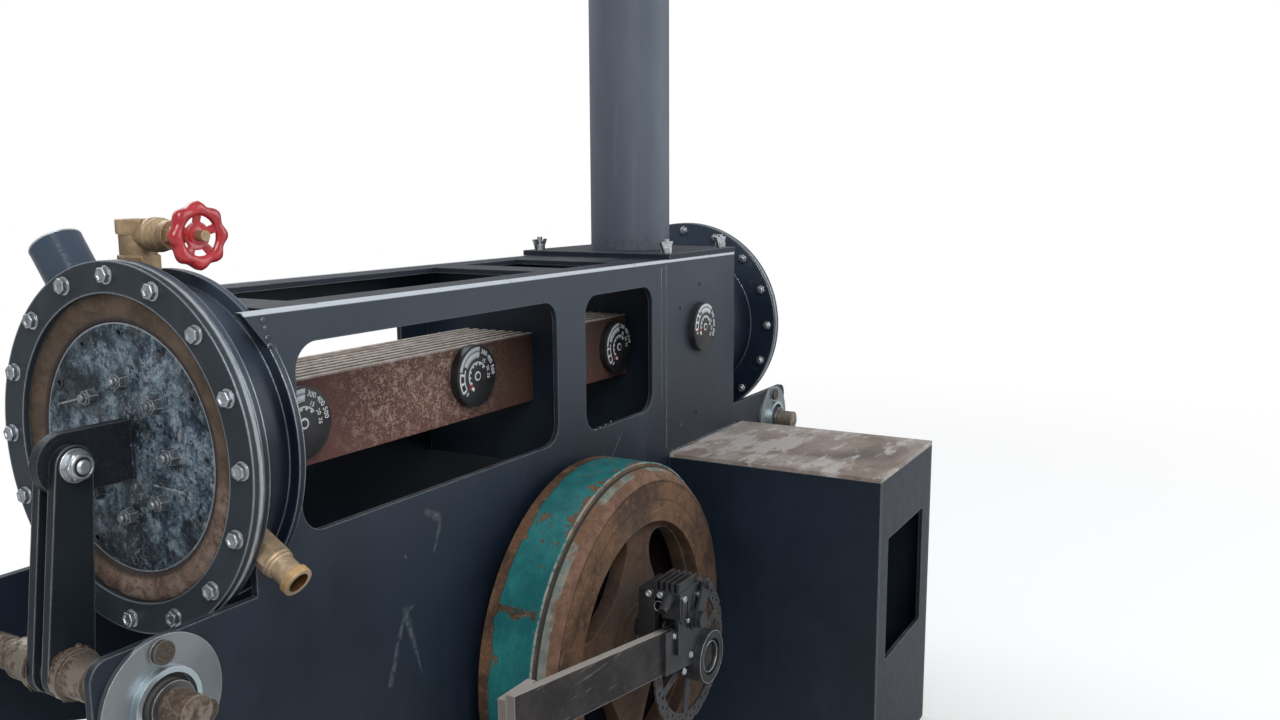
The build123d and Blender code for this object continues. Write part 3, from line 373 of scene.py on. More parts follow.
def zinc_plate(name, tone=(0.55, 0.58, 0.61)):
    """Zinc plating with a faint blue cast, dulled in patches."""
    zinc = Finish(name, tone, 0.3, 1.0)
    patch, fine = zinc.noises((150, 4, 0.6), (900, 2, 0.5))
    worn = zinc.edge(0.0012).rise(0.04, 0.25)
    zinc.colour = zinc.blend(patch.rise(0.4, 0.7), tone, tuple(c * 0.62 for c in tone))
    zinc.coat(worn * 0.7, (0.86, 0.88, 0.9))
    return zinc.surface(0.26 + patch * 0.3, fine + patch, 0.00012, 0.0005)


def bearing_finish(name, x_place, z_place, bolts_past=BEARING_FACE):
    """Dull zinc flange about a shaft, with a bright lip, a black recess, a grey collar and brown bolts."""
    steel = Finish(name, (0.3, 0.33, 0.35), 0.4, 0.85)
    x, y, z = steel.axes
    radius = steel.radius_from(x_place, z_place)
    cloud, fine = steel.noises((16, 4, 0.55), (500, 3, 0.6))
    rub = steel.noise(70, 3, 0.6, turn=(0, 0.7, 0), stretch=(0.2, 1, 2.0)).rise(0.62, 0.7)
    steel.colour = steel.blend(cloud.rise(0.35, 0.7), (0.215, 0.24, 0.262), (0.3, 0.33, 0.352))
    steel.coat(rub * 0.35, (0.48, 0.51, 0.53))
    lip = radius.band(0.0216, 0.0263, 0.0002) * (abs(y) > BEARING_FACE)
    steel.coat(lip, (0.5, 0.6, 0.65))
    recess = radius.band(0.0174, 0.0217, 0.0002) * (abs(y) < 0.1185)
    steel.coat(recess, (0.01, 0.012, 0.015))
    collar = radius.rise(0.0177, 0.0174)
    steel.coat(collar, (0.15, 0.145, 0.14))
    bolts = (radius > 0.027) * (abs(y) > bolts_past)
    worn = steel.edge(0.0014).rise(0.05, 0.3)
    steel.coat(bolts, steel.blend(fine.rise(0.4, 0.7), (0.052, 0.04, 0.032), (0.12, 0.095, 0.075)))
    steel.coat(worn * (0.75 - bolts * 0.45 - recess * 0.7), (0.8, 0.83, 0.85))
    return steel.surface(
        0.34 + cloud * 0.18 - lip * 0.12 + bolts * 0.2,
        fine + cloud, 0.00012, 0.0005, Metallic=0.9 - bolts * 0.6 - recess * 0.9,
    )


zinc = zinc_plate("zinc_plate")
bright_zinc = zinc_plate("bright_zinc", (0.47, 0.51, 0.55))
SHAFT_LOOK = ((0.235, 0.2, 0.165), (0.115, 0.08, 0.058), 0.35, 26, 0.55)
shaft_steel = rusty_steel("shaft_steel", *SHAFT_LOOK)
chrome = zinc_plate("bright_steel", (0.58, 0.62, 0.66))


def leather_finish():
    """Dry dark brown leather, scuffed, with a tan blocky roll where it bulges, painted shade beside the piston's rim
    and a painted highlight on its clamped outer edge.
    """
    hide = Finish("dry_leather", (0.075, 0.055, 0.042), 0.8)
    x, y, z = hide.axes
    radius = hide.drum_radius()
    cloud = hide.noise(38, 4, 0.6)
    fibre = hide.noise(300, 4, 0.7, bend=0.6)
    streak = hide.noise(70, 4, 0.65, turn=(0.5, 0, 0), stretch=(1, 0.4, 1.8))
    bulge = abs(x).rise(0.4687, 0.4708)
    hide.colour = hide.blend(cloud.rise(0.35, 0.7), (0.062, 0.041, 0.026), (0.12, 0.081, 0.053))
    hide.coat(streak.rise(0.5, 0.7) * 0.5, (0.145, 0.105, 0.072))
    hide.coat(fibre.rise(0.52, 0.75) * 0.45, (0.18, 0.135, 0.098))
    crust = hide.blend(cloud.rise(0.4, 0.62), (0.135, 0.082, 0.062), (0.19, 0.14, 0.112))
    crust = hide.blend(fibre.rise(0.48, 0.72) * 0.6, crust, (0.255, 0.195, 0.155))
    dents = hide.noise(120, 3, 0.6, bend=1.2).rise(0.46, 0.36)
    crust = hide.blend(dents * 0.55, crust, (0.07, 0.045, 0.038))
    hide.coat(bulge, crust)
    # Painted shade: a dark ring where the leather meets the piston's rim.
    inner = radius.rise(0.101, 0.0985)
    hide.coat(inner * 0.8, (0.03, 0.021, 0.023))
    # Painted highlight: the clamped outer edge of the leather coloured pale blue-white.
    outer = radius.rise(0.1185, 0.12)
    hide.coat(outer, hide.blend(cloud, (0.26, 0.29, 0.32), (0.44, 0.48, 0.52)))
    return hide.surface(0.66 + fibre * 0.28, fibre + dents * bulge * -0.8 + cloud + streak * 0.5, 0.0011)


def piston_finish(name, side):
    """Mottled blue-grey sheet with scratches, drips and a bright rim, and its black lug."""
    sheet = Finish(name, (0.05, 0.07, 0.1), 0.42, 0.45)
    x, y, z = sheet.axes
    radius = sheet.drum_radius()
    blotch = sheet.noise(36, 9, 0.8, bend=0.25)
    cloud, fine = sheet.noises((11, 3, 0.5), (260, 5, 0.8))
    worms = abs(sheet.noise(88, 4, 0.62) - 0.5).rise(0.026, 0.008) * fine.rise(0.43, 0.53)
    sheet.colour = sheet.ramp(
        blotch * 0.72 + fine * 0.28,
        (0.42, (0.009, 0.018, 0.028)), (0.468, (0.038, 0.066, 0.094)),
        (0.515, (0.115, 0.168, 0.22)), (0.58, (0.33, 0.41, 0.47)),
    )
    sheet.coat(worms * blotch.rise(0.42, 0.51) * 0.75, (0.33, 0.4, 0.46))
    pits = sheet.noise(150, 4, 0.7).rise(0.585, 0.605)
    sheet.coat(pits * 0.8, (0.01, 0.016, 0.022))
    middle = (y - side * 0.008).band(-0.016, 0.016, 0.01) * (1 - worms) * (cloud + fine * 0.4).rise(0.56, 0.68)
    around = radius.rise(0.074, 0.092) * cloud.rise(0.44, 0.54)
    dark = (cloud.rise(0.55, 0.66) * 0.7).most(middle * 0.85).most(around * 0.75)
    sheet.coat(dark * (1 - fine.rise(0.56, 0.62) * 0.6), (0.009, 0.015, 0.021))
    drips = sheet.noise(44, 3, 0.6, stretch=(1, 1, 0.22)).rise(0.615, 0.66) * fine.rise(0.44, 0.58)
    sheet.coat(drips * 0.7, (0.38, 0.41, 0.44))
    scratch = sheet.stroke((-0.026, 0.489), (-0.059, 0.4875), 0.0011, (1, 2))
    scratch = scratch.most(sheet.stroke((0.081, 0.541), (0.052, 0.548), 0.001, (1, 2)))
    sheet.coat(scratch * fine.rise(0.4, 0.5), (0.42, 0.45, 0.47))
    warm = sheet.noise(48, 3, 0.6, shift=(0.4, 0.2, 0.1)).rise(0.63, 0.7)
    sheet.coat(warm * 0.45, (0.15, 0.115, 0.085))
    rim = radius.band(0.0946, 0.0965, 0.0005)
    sheet.coat(rim * 0.85, (0.46, 0.5, 0.55))
    lug = (abs(y) < 0.0047) * (abs(x) > PISTON_PROUD) * (radius < 0.0245)
    weld = abs(y).band(0.0046, 0.0082, 0.0012) * (abs(z - DRUM_Z) < 0.026)
    worn = sheet.edge(0.0018).rise(0.06, 0.3)
    black = sheet.blend(fine.rise(0.55, 0.75) * 0.5, (0.009, 0.013, 0.02), (0.055, 0.065, 0.075))
    black = sheet.blend(worn * 0.5, black, (0.25, 0.27, 0.29))
    sheet.coat(weld * 0.8, (0.018, 0.024, 0.032))
    sheet.coat(lug, black)
    fixings = (abs(x) > PISTON_PROUD) * (1 - lug)
    steel = sheet.blend(fine.rise(0.35, 0.7), (0.03, 0.042, 0.052), (0.13, 0.155, 0.18))
    steel = sheet.blend(sheet.edge(0.0014).rise(0.03, 0.16) * 0.85, steel, (0.56, 0.6, 0.64))
    sheet.coat(fixings, steel)
    return sheet.surface(
        0.34 + fine * 0.22 + drips * 0.2,
        fine * 0.7 + blotch * 0.8 + worms * 0.5 - pits * 0.5, 0.0006, 0.0006,
        Metallic=(0.4 + rim * 0.45).least(1 - lug * 0.8),
    )


def wheel_finish():
    """Rusty cast iron, with chipped teal paint on the belt face and pale paint in the steps; painted shade on its
    right side, in the step beside the belt, in the face grooves, in the recessed web and round the hub.
    """
    iron = Finish("wheel_iron", (0.11, 0.065, 0.042), 0.72)
    x, y, z = iron.axes
    radius = iron.radius_from(*CRANK)
    broad, cloud, grain, fine = iron.noises((6, 4, 0.6), (19, 5, 0.65), (80, 5, 0.68), (420, 3, 0.6))
    rust = iron.blend(cloud.rise(0.38, 0.62), (0.05, 0.026, 0.015), (0.15, 0.078, 0.04))
    rust = iron.blend(grain.rise(0.5, 0.66) * 0.6, rust, (0.215, 0.12, 0.066))
    rust = iron.blend(fine.rise(0.52, 0.7) * 0.6, rust, (0.028, 0.017, 0.012))
    rust = iron.blend(broad.rise(0.54, 0.7) * 0.35, rust, (0.085, 0.075, 0.068))
    scratch = iron.noise(70, 2, 0.5, turn=(0, 0.6, 0), stretch=(0.2, 1, 2.4)).rise(0.66, 0.7)
    rust = iron.blend(scratch * 0.35, rust, (0.27, 0.19, 0.135))
    # Painted shade: the wheel's right side (+x) darkened.
    rust = iron.blend(x.rise(0.05, 0.15) * 0.55, rust, (0.036, 0.023, 0.017))
    teal = iron.blend(cloud.rise(0.35, 0.65), (0.006, 0.11, 0.118), (0.02, 0.185, 0.19))
    teal = iron.blend(grain.rise(0.58, 0.78) * 0.55, teal, (0.012, 0.052, 0.05))
    teal = iron.blend(fine.rise(0.66, 0.8) * 0.4, teal, (0.1, 0.24, 0.22))
    pits = iron.noise(240, 3, 0.7).rise(0.615, 0.65) * grain.rise(0.42, 0.6)
    teal = iron.blend(pits * 0.8, teal, (0.03, 0.04, 0.034))
    edge_wander = (cloud - 0.5) * 0.014 + (grain - 0.5) * 0.006
    back_strip = (y + edge_wander).rise(-0.1345, -0.1325)
    near_rim = abs(y + 0.1515).rise(0.017, 0.029)
    high_up = z.rise(0.36, 0.43)
    belt_chips = (cloud * 0.5 + grain * 0.5 + near_rim * 0.045 + high_up * 0.03).rise(0.575, 0.592)
    streak = abs((x + 0.188) * 0.43 + (z - 0.316) * 0.9 + (grain - 0.5) * 0.016).rise(0.0065, 0.0045)
    streak = streak * (cloud + grain).rise(0.86, 0.94)
    belt = iron.blend(belt_chips.most(back_strip).most(streak), teal, rust)
    belt = iron.blend(y.band(-0.1812, -0.179, 0.0006) * grain.rise(0.35, 0.55), belt, (0.3, 0.34, 0.32))
    pale = iron.blend(grain.rise(0.4, 0.62), (0.13, 0.165, 0.145), (0.22, 0.22, 0.185))
    pale = iron.blend(cloud.rise(0.5, 0.6), pale, rust)
    ridge = iron.blend(grain.rise(0.4, 0.65), (0.115, 0.058, 0.037), (0.19, 0.105, 0.07))
    # Painted shade on the ridge's right side, as on the rust above.
    ridge = iron.blend(x.rise(0.05, 0.15) * 0.6, ridge, (0.04, 0.025, 0.019))
    iron.colour = iron.blend((radius > 0.1866) * (y > -0.1812), rust, belt)
    steps = (radius > 0.1715) * (y < -0.1812)
    # Painted shade: the narrow step between the belt and the pale band painted near black.
    iron.coat(steps * (y > -0.1842), (0.02, 0.026, 0.024))
    iron.coat(steps * (y < -0.1842) * (y > -0.1912), pale)
    iron.coat(steps * (y < -0.1912), ridge)
    # Painted shade: the recessed web darkened, more the deeper it lies.
    recess = (radius < 0.152) * y.rise(-0.1975, -0.193) * (0.35 + y.rise(-0.19, -0.15) * 0.55)
    iron.coat(recess, (0.022, 0.014, 0.01))
    # Painted shade: dark lines in the two grooves of the front face.
    groove_shade = radius.band(0.169, 0.1706, 0.0004).most(radius.band(0.15, 0.1512, 0.0004)) * (y < -0.1975)
    iron.coat(groove_shade * 0.7, (0.03, 0.018, 0.012))
    # Painted shade round the hub, broken up by noise.
    hub = radius.rise(0.112, 0.055) * (grain * 0.4 + broad).rise(0.45, 0.75)
    iron.coat((hub * 0.6).most(radius.rise(0.07, 0.045) * 0.5), (0.03, 0.023, 0.02))
    worn = iron.edge(0.0022).rise(0.06, 0.35) * grain.rise(0.35, 0.6)
    iron.coat(worn * 0.5, (0.3, 0.22, 0.165))
    painted = (radius > 0.1866) * (y > -0.1812) * (1 - belt_chips.most(back_strip))
    return iron.surface(
        0.74 - painted * 0.36 + grain * 0.12,
        grain * 0.8 + fine * 0.35 + cloud * 0.8 + painted * 0.5, 0.0011, 0.0012, Metallic=0.12 * (1 - painted),
    )


def stack_finish():
    """Rusty mild steel sheets: red-brown sides with a pale maze of scratches, and pale layered tops."""
    sheet = Finish("rusty_sheet", (0.13, 0.07, 0.05), 0.68)
    x, y, z = sheet.axes
    cloud, grain, fine = sheet.noises((8, 4, 0.6), (90, 5, 0.72), (420, 3, 0.6))
    side = sheet.blend(cloud.rise(0.35, 0.7), (0.092, 0.036, 0.031), (0.15, 0.072, 0.056))
    side = sheet.blend(x.rise(-0.16, -0.08) * 0.7, side, (0.085, 0.052, 0.038))
    side = sheet.blend(grain.rise(0.52, 0.72) * 0.4, side, (0.06, 0.03, 0.024))
    patch = x.band(-0.27, -0.085, 0.055) * (cloud * 0.4 + 0.8)
    maze = abs(sheet.noise(210, 2, 0.5, bend=0.5) - 0.5).rise(0.05, 0.018)
    mottle = (grain * 0.6 + fine * 0.4).rise(0.43, 0.5) * maze.most(grain.rise(0.55, 0.6))
    side = sheet.blend(mottle * patch.least(1) * 0.85, side, (0.41, 0.3, 0.24))
    speck = sheet.noise(260, 3, 0.7).rise(0.6, 0.68) * (0.35 + patch * 0.3)
    side = sheet.blend(speck, side, (0.3, 0.21, 0.17))
    damp = z.rise(0.5, 0.478) * cloud.rise(0.3, 0.6)
    side = sheet.blend(damp * 0.45, side, (0.13, 0.05, 0.045))
    top = sheet.blend(grain.rise(0.35, 0.65), (0.5, 0.425, 0.37), (0.8, 0.75, 0.7))
    streaks = sheet.noise(34, 3, 0.6, stretch=(0.1, 1, 1)).rise(0.5, 0.62)
    top = sheet.blend(streaks * 0.45, top, (0.27, 0.18, 0.14))
    upper = sheet.facing()[2].rise(0.5, 0.9)
    rim = z.rise(STACK_TOP - 0.0022, STACK_TOP - 0.0008) * (1 - upper)
    sheet.colour = sheet.blend(upper.most(rim * 0.6), side, top)
    return sheet.surface(
        0.55 + grain * 0.25,
        grain * 0.7 + fine * 0.4 + mottle * patch * 0.4, 0.0004, 0.0006, Metallic=0.25,
    )


def firebox_top_finish():
    """Heat-scaled plate, brown and grey, with whitish rub marks."""
    scale = Finish("scaled_plate", (0.22, 0.17, 0.14), 0.6, 0.3)
    x, y, z = scale.axes
    cloud = scale.noise(9, 5, 0.62, bend=0.5)
    grain = scale.noise(110, 5, 0.7)
    rub = scale.noise(30, 6, 0.72, turn=(0, 0, 0.5), stretch=(0.35, 1.2, 1))
    scale.colour = scale.ramp(
        cloud * 0.8 + grain * 0.2,
        (0.34, (0.15, 0.125, 0.114)), (0.46, (0.28, 0.222, 0.19)),
        (0.56, (0.4, 0.345, 0.315)), (0.68, (0.35, 0.34, 0.34)),
    )
    middle = abs(y + 0.165).rise(0.075, 0.03) * x.band(0.215, 0.33, 0.03)
    rubbed = (rub + middle * 0.1).rise(0.52, 0.6) * (0.55 + grain * 0.5)
    scale.coat(rubbed * 0.85, (0.62, 0.6, 0.58))
    scale.coat(grain.rise(0.58, 0.72) * 0.45, (0.105, 0.068, 0.05))
    worn = scale.edge(0.002).rise(0.06, 0.3)
    scale.coat(worn * 0.6, (0.45, 0.44, 0.42))
    return scale.surface(0.42 + grain * 0.35, grain * 0.7 + cloud, 0.0007, 0.0008)


def flue_finish():
    """Grey-blue paint with faint rings from rolling, dusty and cloudy."""
    paint = Finish("flue_paint", (0.095, 0.115, 0.15), 0.55)
    x, y, z = paint.axes
    cloud = paint.noise(6, 4, 0.6, stretch=(1, 1, 0.4))
    grain = paint.noise(140, 4, 0.65)
    runs = paint.noise(38, 3, 0.6, stretch=(1, 1, 0.06))
    paint.colour = paint.blend(cloud.rise(0.35, 0.7), (0.075, 0.092, 0.122), (0.112, 0.136, 0.175))
    paint.coat(runs.rise(0.56, 0.72) * 0.35, (0.15, 0.17, 0.2))
    soot = z.rise(1.075, 1.125) * grain.rise(0.3, 0.6)
    paint.coat(soot * 0.7, (0.02, 0.02, 0.022))
    foot = z.rise(0.652, 0.63)
    paint.coat(foot * grain.rise(0.35, 0.6) * 0.6, (0.045, 0.05, 0.058))
    return paint.surface(0.46 + grain * 0.18, grain * 0.5 + runs * 0.5, 0.0003, 0.0006)


def brass_finish(name, tone=(0.4, 0.285, 0.17), bore=False):
    """Cast brass gone dull and tan, with darker flecks, bright on worn edges; with bore, darker inside the bore as
    painted shade.
    """
    brass = Finish(name, tone, 0.42, 0.55)
    cloud, grain = brass.noises((55, 4, 0.6), (420, 4, 0.7))
    brass.colour = brass.blend(cloud.rise(0.38, 0.68), tuple(c * 0.72 for c in tone), tuple(c * 1.18 for c in tone))
    brass.coat(grain.rise(0.55, 0.75) * 0.4, tuple(c * 0.5 for c in tone))
    worn = brass.edge(0.0012).rise(0.05, 0.3)
    brass.coat(worn * 0.7, (0.72, 0.56, 0.36))
    # Painted shade: the inside of the nipple's bore painted dark brown.
    if bore:
        x, y, z = brass.axes
        across = y * cos(NIPPLE_ANGLE) - (z - DRUM_Z) * sin(NIPPLE_ANGLE)
        inside = ((x + 0.446) * (x + 0.446) + across * across).root().rise(0.0084, 0.008)
        brass.coat(inside, brass.blend(grain, (0.055, 0.024, 0.01), (0.2, 0.095, 0.035)))
    return brass.surface(0.36 + grain * 0.22 - worn * 0.08, grain, 0.0003, 0.0006)


def red_finish():
    """Glossy red enamel of the handwheel, with darker flecks."""
    red = Finish("red_enamel", (0.42, 0.012, 0.02), 0.24, 0.0, Coat_Weight=0.6, Coat_Roughness=0.12)
    cloud, grain = red.noises((70, 4, 0.6), (500, 3, 0.6))
    red.colour = red.blend(cloud.rise(0.35, 0.7), (0.36, 0.008, 0.016), (0.5, 0.02, 0.03))
    red.coat(grain.rise(0.66, 0.74) * cloud.rise(0.5, 0.7), (0.12, 0.02, 0.02))
    return red.surface(0.22 + cloud * 0.12, cloud + grain * 0.4, 0.0004, 0.0008)


def black_plastic(name, tone=(0.016, 0.018, 0.022), roughness=0.42):
    """Black moulded or painted surface with fine grain and greyed edges."""
    black = Finish(name, tone, roughness)
    grain, cloud = black.noises((700, 3, 0.6), (60, 3, 0.6))
    worn = black.edge(0.0009).rise(0.06, 0.35)
    black.colour = black.blend(cloud.rise(0.4, 0.7), tone, tuple(c * 1.8 + 0.004 for c in tone))
    black.coat(worn * 0.6, (0.17, 0.18, 0.19))
    return black.surface(roughness + grain * 0.15, grain, 0.00012, 0.0004)


def printed(name, tone, roughness=0.55):
    """Printed mark with slightly uneven ink."""
    ink = Finish(name, tone, roughness)
    wear = ink.noise(900, 3, 0.6)
    ink.colour = ink.blend(wear.rise(0.45, 0.7), tone, tuple(c * 0.75 for c in tone))
    return ink.surface(roughness + wear * 0.1)


def bar_finish():
    """Scratched brown-grey flat bar, bright on its sawn end, with a painted highlight on its top face, darker at the
    hub plate.
    """
    steel = Finish("flat_bar", (0.06, 0.052, 0.049), 0.5, 0.5, Specular_IOR_Level=0.35)
    x, y, z = steel.axes
    cloud, grain = steel.noises((22, 5, 0.65), (110, 5, 0.7))
    scratch = steel.noise(120, 3, 0.6, turn=(0, -0.35, 0), stretch=(0.14, 1, 2.6))
    steel.colour = steel.blend(cloud.rise(0.38, 0.66), (0.01, 0.008, 0.008), (0.03, 0.026, 0.026))
    steel.coat(grain.rise(0.52, 0.7) * 0.5, (0.052, 0.046, 0.044))
    steel.coat(scratch.rise(0.6, 0.66) * 0.5, (0.15, 0.14, 0.135))
    dark = x.rise(-0.15, -0.105) * 0.75
    steel.coat(dark, (0.018, 0.017, 0.019))
    facing = steel.facing()
    sawn = facing[0].rise(-0.8, -0.95) * x.rise(-0.33, -0.338)
    # Painted highlight: the up-facing top face lightened away from the hub plate.
    upper = facing[2].rise(0.6, 0.85) * x.rise(-0.09, -0.12)
    steel.coat(sawn, steel.blend(grain, (0.1, 0.085, 0.075), (0.24, 0.21, 0.19)))
    steel.coat(upper * 0.8, (0.42, 0.39, 0.36))
    worn = steel.edge(0.0018).rise(0.05, 0.3)
    steel.coat(worn * 0.75, (0.58, 0.56, 0.53))
    return steel.surface(0.46 + grain * 0.25, grain + cloud * 0.6, 0.0003, 0.0005, Metallic=0.15 + worn * 0.6)


weld_black = satin_black("weld_black", (0.018, 0.027, 0.042), 0.7, wear=0.03)
weld_brown = rusty_steel("weld_brown", (0.13, 0.095, 0.072), (0.06, 0.036, 0.024), 0.7, 90, 0.4)
bearing_zinc = zinc_plate("bearing_ring_zinc", (0.26, 0.28, 0.3))
bare_rim = zinc_plate("bare_rim", (0.6, 0.64, 0.68))
leather = leather_finish()
brass = brass_finish("dull_brass")
pale_brass = brass_finish("pale_brass", (0.5, 0.375, 0.245), True)
gold_brass = brass_finish("gold_brass", (0.58, 0.36, 0.13))
caliper_black = black_plastic("caliper_black", (0.0085, 0.0095, 0.0115), 0.3)
bracket_black = black_plastic("bracket_black", (0.012, 0.013, 0.016), 0.36)
dial_black = black_plastic("dial_black", (0.013, 0.014, 0.017), 0.36)
dial_grey = black_plastic("dial_charcoal", (0.011, 0.011, 0.013), 0.42)
pale_print = printed("pale_print", (0.52, 0.56, 0.6))
white_print = printed("white_print", (0.72, 0.74, 0.76))
red_print = printed("red_print", (0.36, 0.02, 0.03))
disc_steel = rusty_steel("disc_steel", (0.1, 0.105, 0.115), (0.06, 0.045, 0.035), 0.35, 70)
stud_steel = rusty_steel("stud_steel", (0.3, 0.32, 0.34), (0.075, 0.07, 0.065), 0.3, 160)
red_enamel = red_finish()
for finish, names in (
    (satin_black("satin_plate", marks=plate_marks, top=FRAME_TOP), "near_side_plate"),
    (satin_black("satin_far_plate", top=FRAME_TOP), "far_side_plate"),
    (satin_black("satin_frame"), "top_rails cross_strips middle_web hot_box_front_wall hot_box_back_wall "
     "hot_box_floor base_plate hot_box_lid cold_bulkhead firebox_side_walls firebox_end_wall firebox_floor"),
    (satin_black("gloss_drum", (0.008, 0.015, 0.029), 0.85, shell_marks, wear=0.16, rough=0.26,
                 bare=(0.48, 0.53, 0.58), sky_sheen=0.75), "cold_drum hot_drum"),
    (satin_black("stub_paint", (0.016, 0.034, 0.06), 0.95, wear=0.24, rough=0.12, bare=(0.56, 0.6, 0.64),
                 sky_sheen=0.45), "pipe_stub"),
    (satin_black("ring_paint", (0.027, 0.038, 0.05), 0.95, dust=0.2, wear=0.16, bare=(0.55, 0.6, 0.66)),
     "cold_clamp_ring hot_clamp_ring"),
    (satin_black("lever_paint", (0.01, 0.016, 0.022), 0.9, wear=0.06), "cold_levers hot_levers"),
    (shaft_steel, "cold_rocker_shaft hot_rocker_shaft"),
    (rusty_steel("crank_steel", *SHAFT_LOOK, recess_shade_before=-0.26), "crankshaft"),
    (zinc, "cold_pivot_bolt hot_pivot_bolt lid_wing_nuts"),
    (bearing_finish("cold_bearing_zinc", -ROCKER[0], ROCKER[1]), "cold_bearings"),
    (bearing_finish("hot_bearing_zinc", ROCKER[0], ROCKER[1]), "hot_bearings"),
    (bearing_finish("main_bearing_zinc", CRANK[0], CRANK[1], 1.0), "main_bearings"),
    (bar_finish(), "outboard_bar bar_stay"),
    (caliper_black, "brake_caliper brake_arm"),
    (bracket_black, "outboard_bearing"),
    (disc_steel, "brake_disc"),
    (piston_finish("mottled_sheet_cold", -1), "cold_piston"),
    (piston_finish("mottled_sheet_hot", 1), "hot_piston"),
    (leather, "cold_diaphragm hot_diaphragm"),
    (wheel_finish(), "flywheel"),
    (stack_finish(), "cold_sheet_stack hot_sheet_stack"),
    (firebox_top_finish(), "firebox_top"),
    (flue_finish(), "flue"),
    (brass, "gate_valve"),
    (pale_brass, "brass_nipple"),
    (red_enamel, "valve_handwheel"),
    (dial_black, "stack_dials hot_box_dial"),
):
    for node in names.split():
        nodes[node].data.materials.clear()
        nodes[node].data.materials.append(finish.material)


# Ways of making pieces. Their profiles and sizes are in millimetres.
def metres(lengths):
    return [round(length / 1000, 9) for length in lengths]


def pick(*pieces):
    """Select just these pieces, the first of them active."""
    bpy.ops.object.select_all(action="DESELECT")
    for piece in pieces:
        piece.select_set(True)
    if pieces:
        bpy.context.view_layer.objects.active = pieces[0]


def start_edit():
    """Edit the active piece, all of it selected."""
    bpy.ops.object.mode_set(mode="EDIT")
    bpy.ops.mesh.select_all(action="SELECT")


def ring_of(radius, steps, height=0.0):
    """Start a piece as a circle about the Z axis, all selected in edit mode."""
    pick()
    bpy.ops.mesh.primitive_circle_add(vertices=steps, radius=radius, location=(0, 0, 0))
    start_edit()
    bpy.ops.transform.translate(value=(0, 0, height))


def draw_out(radius, height, last_radius, last_height):
    """Draw the selected loop out to a new radius and height."""
    bpy.ops.mesh.extrude_region_move(TRANSFORM_OT_translate={"value": (0, 0, height - last_height)})
    share = radius / last_radius
    bpy.ops.transform.resize(value=(share, share, 1), center_override=(0, 0, height))


def pick_faces(test):
    """Select the faces of the piece in edit mode whose middle and normal pass a test."""
    mesh = bpy.context.active_object.data
    work = bmesh.from_edit_mesh(mesh)
    chosen = [face for face in work.faces if test(face.calc_center_median(), face.normal)]
    for face in work.faces:
        face.select_set(False)
    for face in chosen:
        face.select_set(True)
    bmesh.update_edit_mesh(mesh)


def smooth(angle):
    bpy.ops.object.shade_smooth_by_angle(angle=radians(angle))


def named(piece, name, finish=None):
    """Name a piece and its mesh, and paint it."""
    piece.name = piece.data.name = name
    if finish:
        piece.data.materials.clear()
        piece.data.materials.append(finish.material)
    return piece


def leave_edit(name, finish, angle=35.0):
    """Turn the normals out, leave edit mode, name, smooth and paint the piece."""
    bpy.ops.mesh.select_all(action="SELECT")
    bpy.ops.mesh.normals_make_consistent(inside=False)
    bpy.ops.object.mode_set(mode="OBJECT")
    smooth(angle)
    return named(bpy.context.active_object, name, finish)


def turned(name, profile, finish, steps=28, closed=False, angle=35.0):
    """Piece turned about the Z axis through (radius, height) pairs; closed joins end to start."""
    last, *others = [metres(pair) for pair in profile]
    ring_of(last[0], steps, last[1])
    for point in others:
        draw_out(*point, *last)
        last = point
    if closed:
        bpy.ops.mesh.select_all(action="DESELECT")
        bpy.ops.mesh.select_non_manifold()
        bpy.ops.mesh.bridge_edge_loops()
    else:
        bpy.ops.mesh.select_all(action="SELECT")
        bpy.ops.mesh.fill_holes(sides=0)
    return leave_edit(name, finish, angle)


def block(name, low, high, finish, round_off=0.8, segments=2):
    """Rounded block between two corners."""
    pick()
    bpy.ops.mesh.primitive_cube_add(size=1, location=(0, 0, 0))
    start_edit()
    corners = list(zip(metres(low), metres(high)))
    bpy.ops.transform.resize(value=[b - a for a, b in corners], center_override=(0, 0, 0))
    bpy.ops.transform.translate(value=[(a + b) / 2 for a, b in corners])
    bpy.ops.mesh.bevel(offset=round_off / 1000, segments=segments, affect="EDGES")
    return leave_edit(name, finish, 40)


def raised(piece, height):
    """Piece moved up its own axis."""
    piece.data.transform(Matrix.Translation((0, 0, height / 1000)))
    return piece


def joined(name, pieces):
    """Several finished pieces as one."""
    pick(*pieces)
    if len(pieces) > 1:
        bpy.ops.object.join()
    return named(pieces[0], name)


def standing(place, out, turn=0.0):
    """Matrix that stands a piece at a place with its Z axis along out."""
    facing = Vector(out).normalized().to_track_quat("Z", "Y").to_matrix().to_4x4()
    return Matrix.Translation(place) @ facing @ Matrix.Rotation(turn, 4, "Z")


def near_side(x, y, z, turn=0.0):
    """Matrix that stands a piece at a place with its Z axis out of the near side."""
    return standing((x, y, z), (0, -1, 0), turn)


def on_ring(x, radius, angle, side, way=1, turn=0.0):
    """Matrix at a place on a ring about the drum axis; the angle runs from +Y up, way 1 faces outward."""
    return standing((side * x, radius * cos(angle), DRUM_Z + radius * sin(angle)), (side * way, 0, 0), turn)


def fix_place():
    bpy.ops.object.transform_apply(location=True, rotation=True, scale=True)


def copied(name, places):
    """One piece made of a copy of a model at each place, each with its own mesh."""
    copies = []
    for model, place in places:
        copy = model.copy()
        copy.data = model.data.copy()
        bpy.context.collection.objects.link(copy)
        copy.matrix_world = place
        copies.append(copy)
    pick(*copies)
    fix_place()
    return joined(name, copies)


def settle(piece, place=None, body="frame", node=None):
    """Put one finished piece in its place, let it ride on a body and stand for a node."""
    if place is not None:
        piece.matrix_world = place
        pick(piece)
        fix_place()
    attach(piece, body)
    if node:
        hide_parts(node)


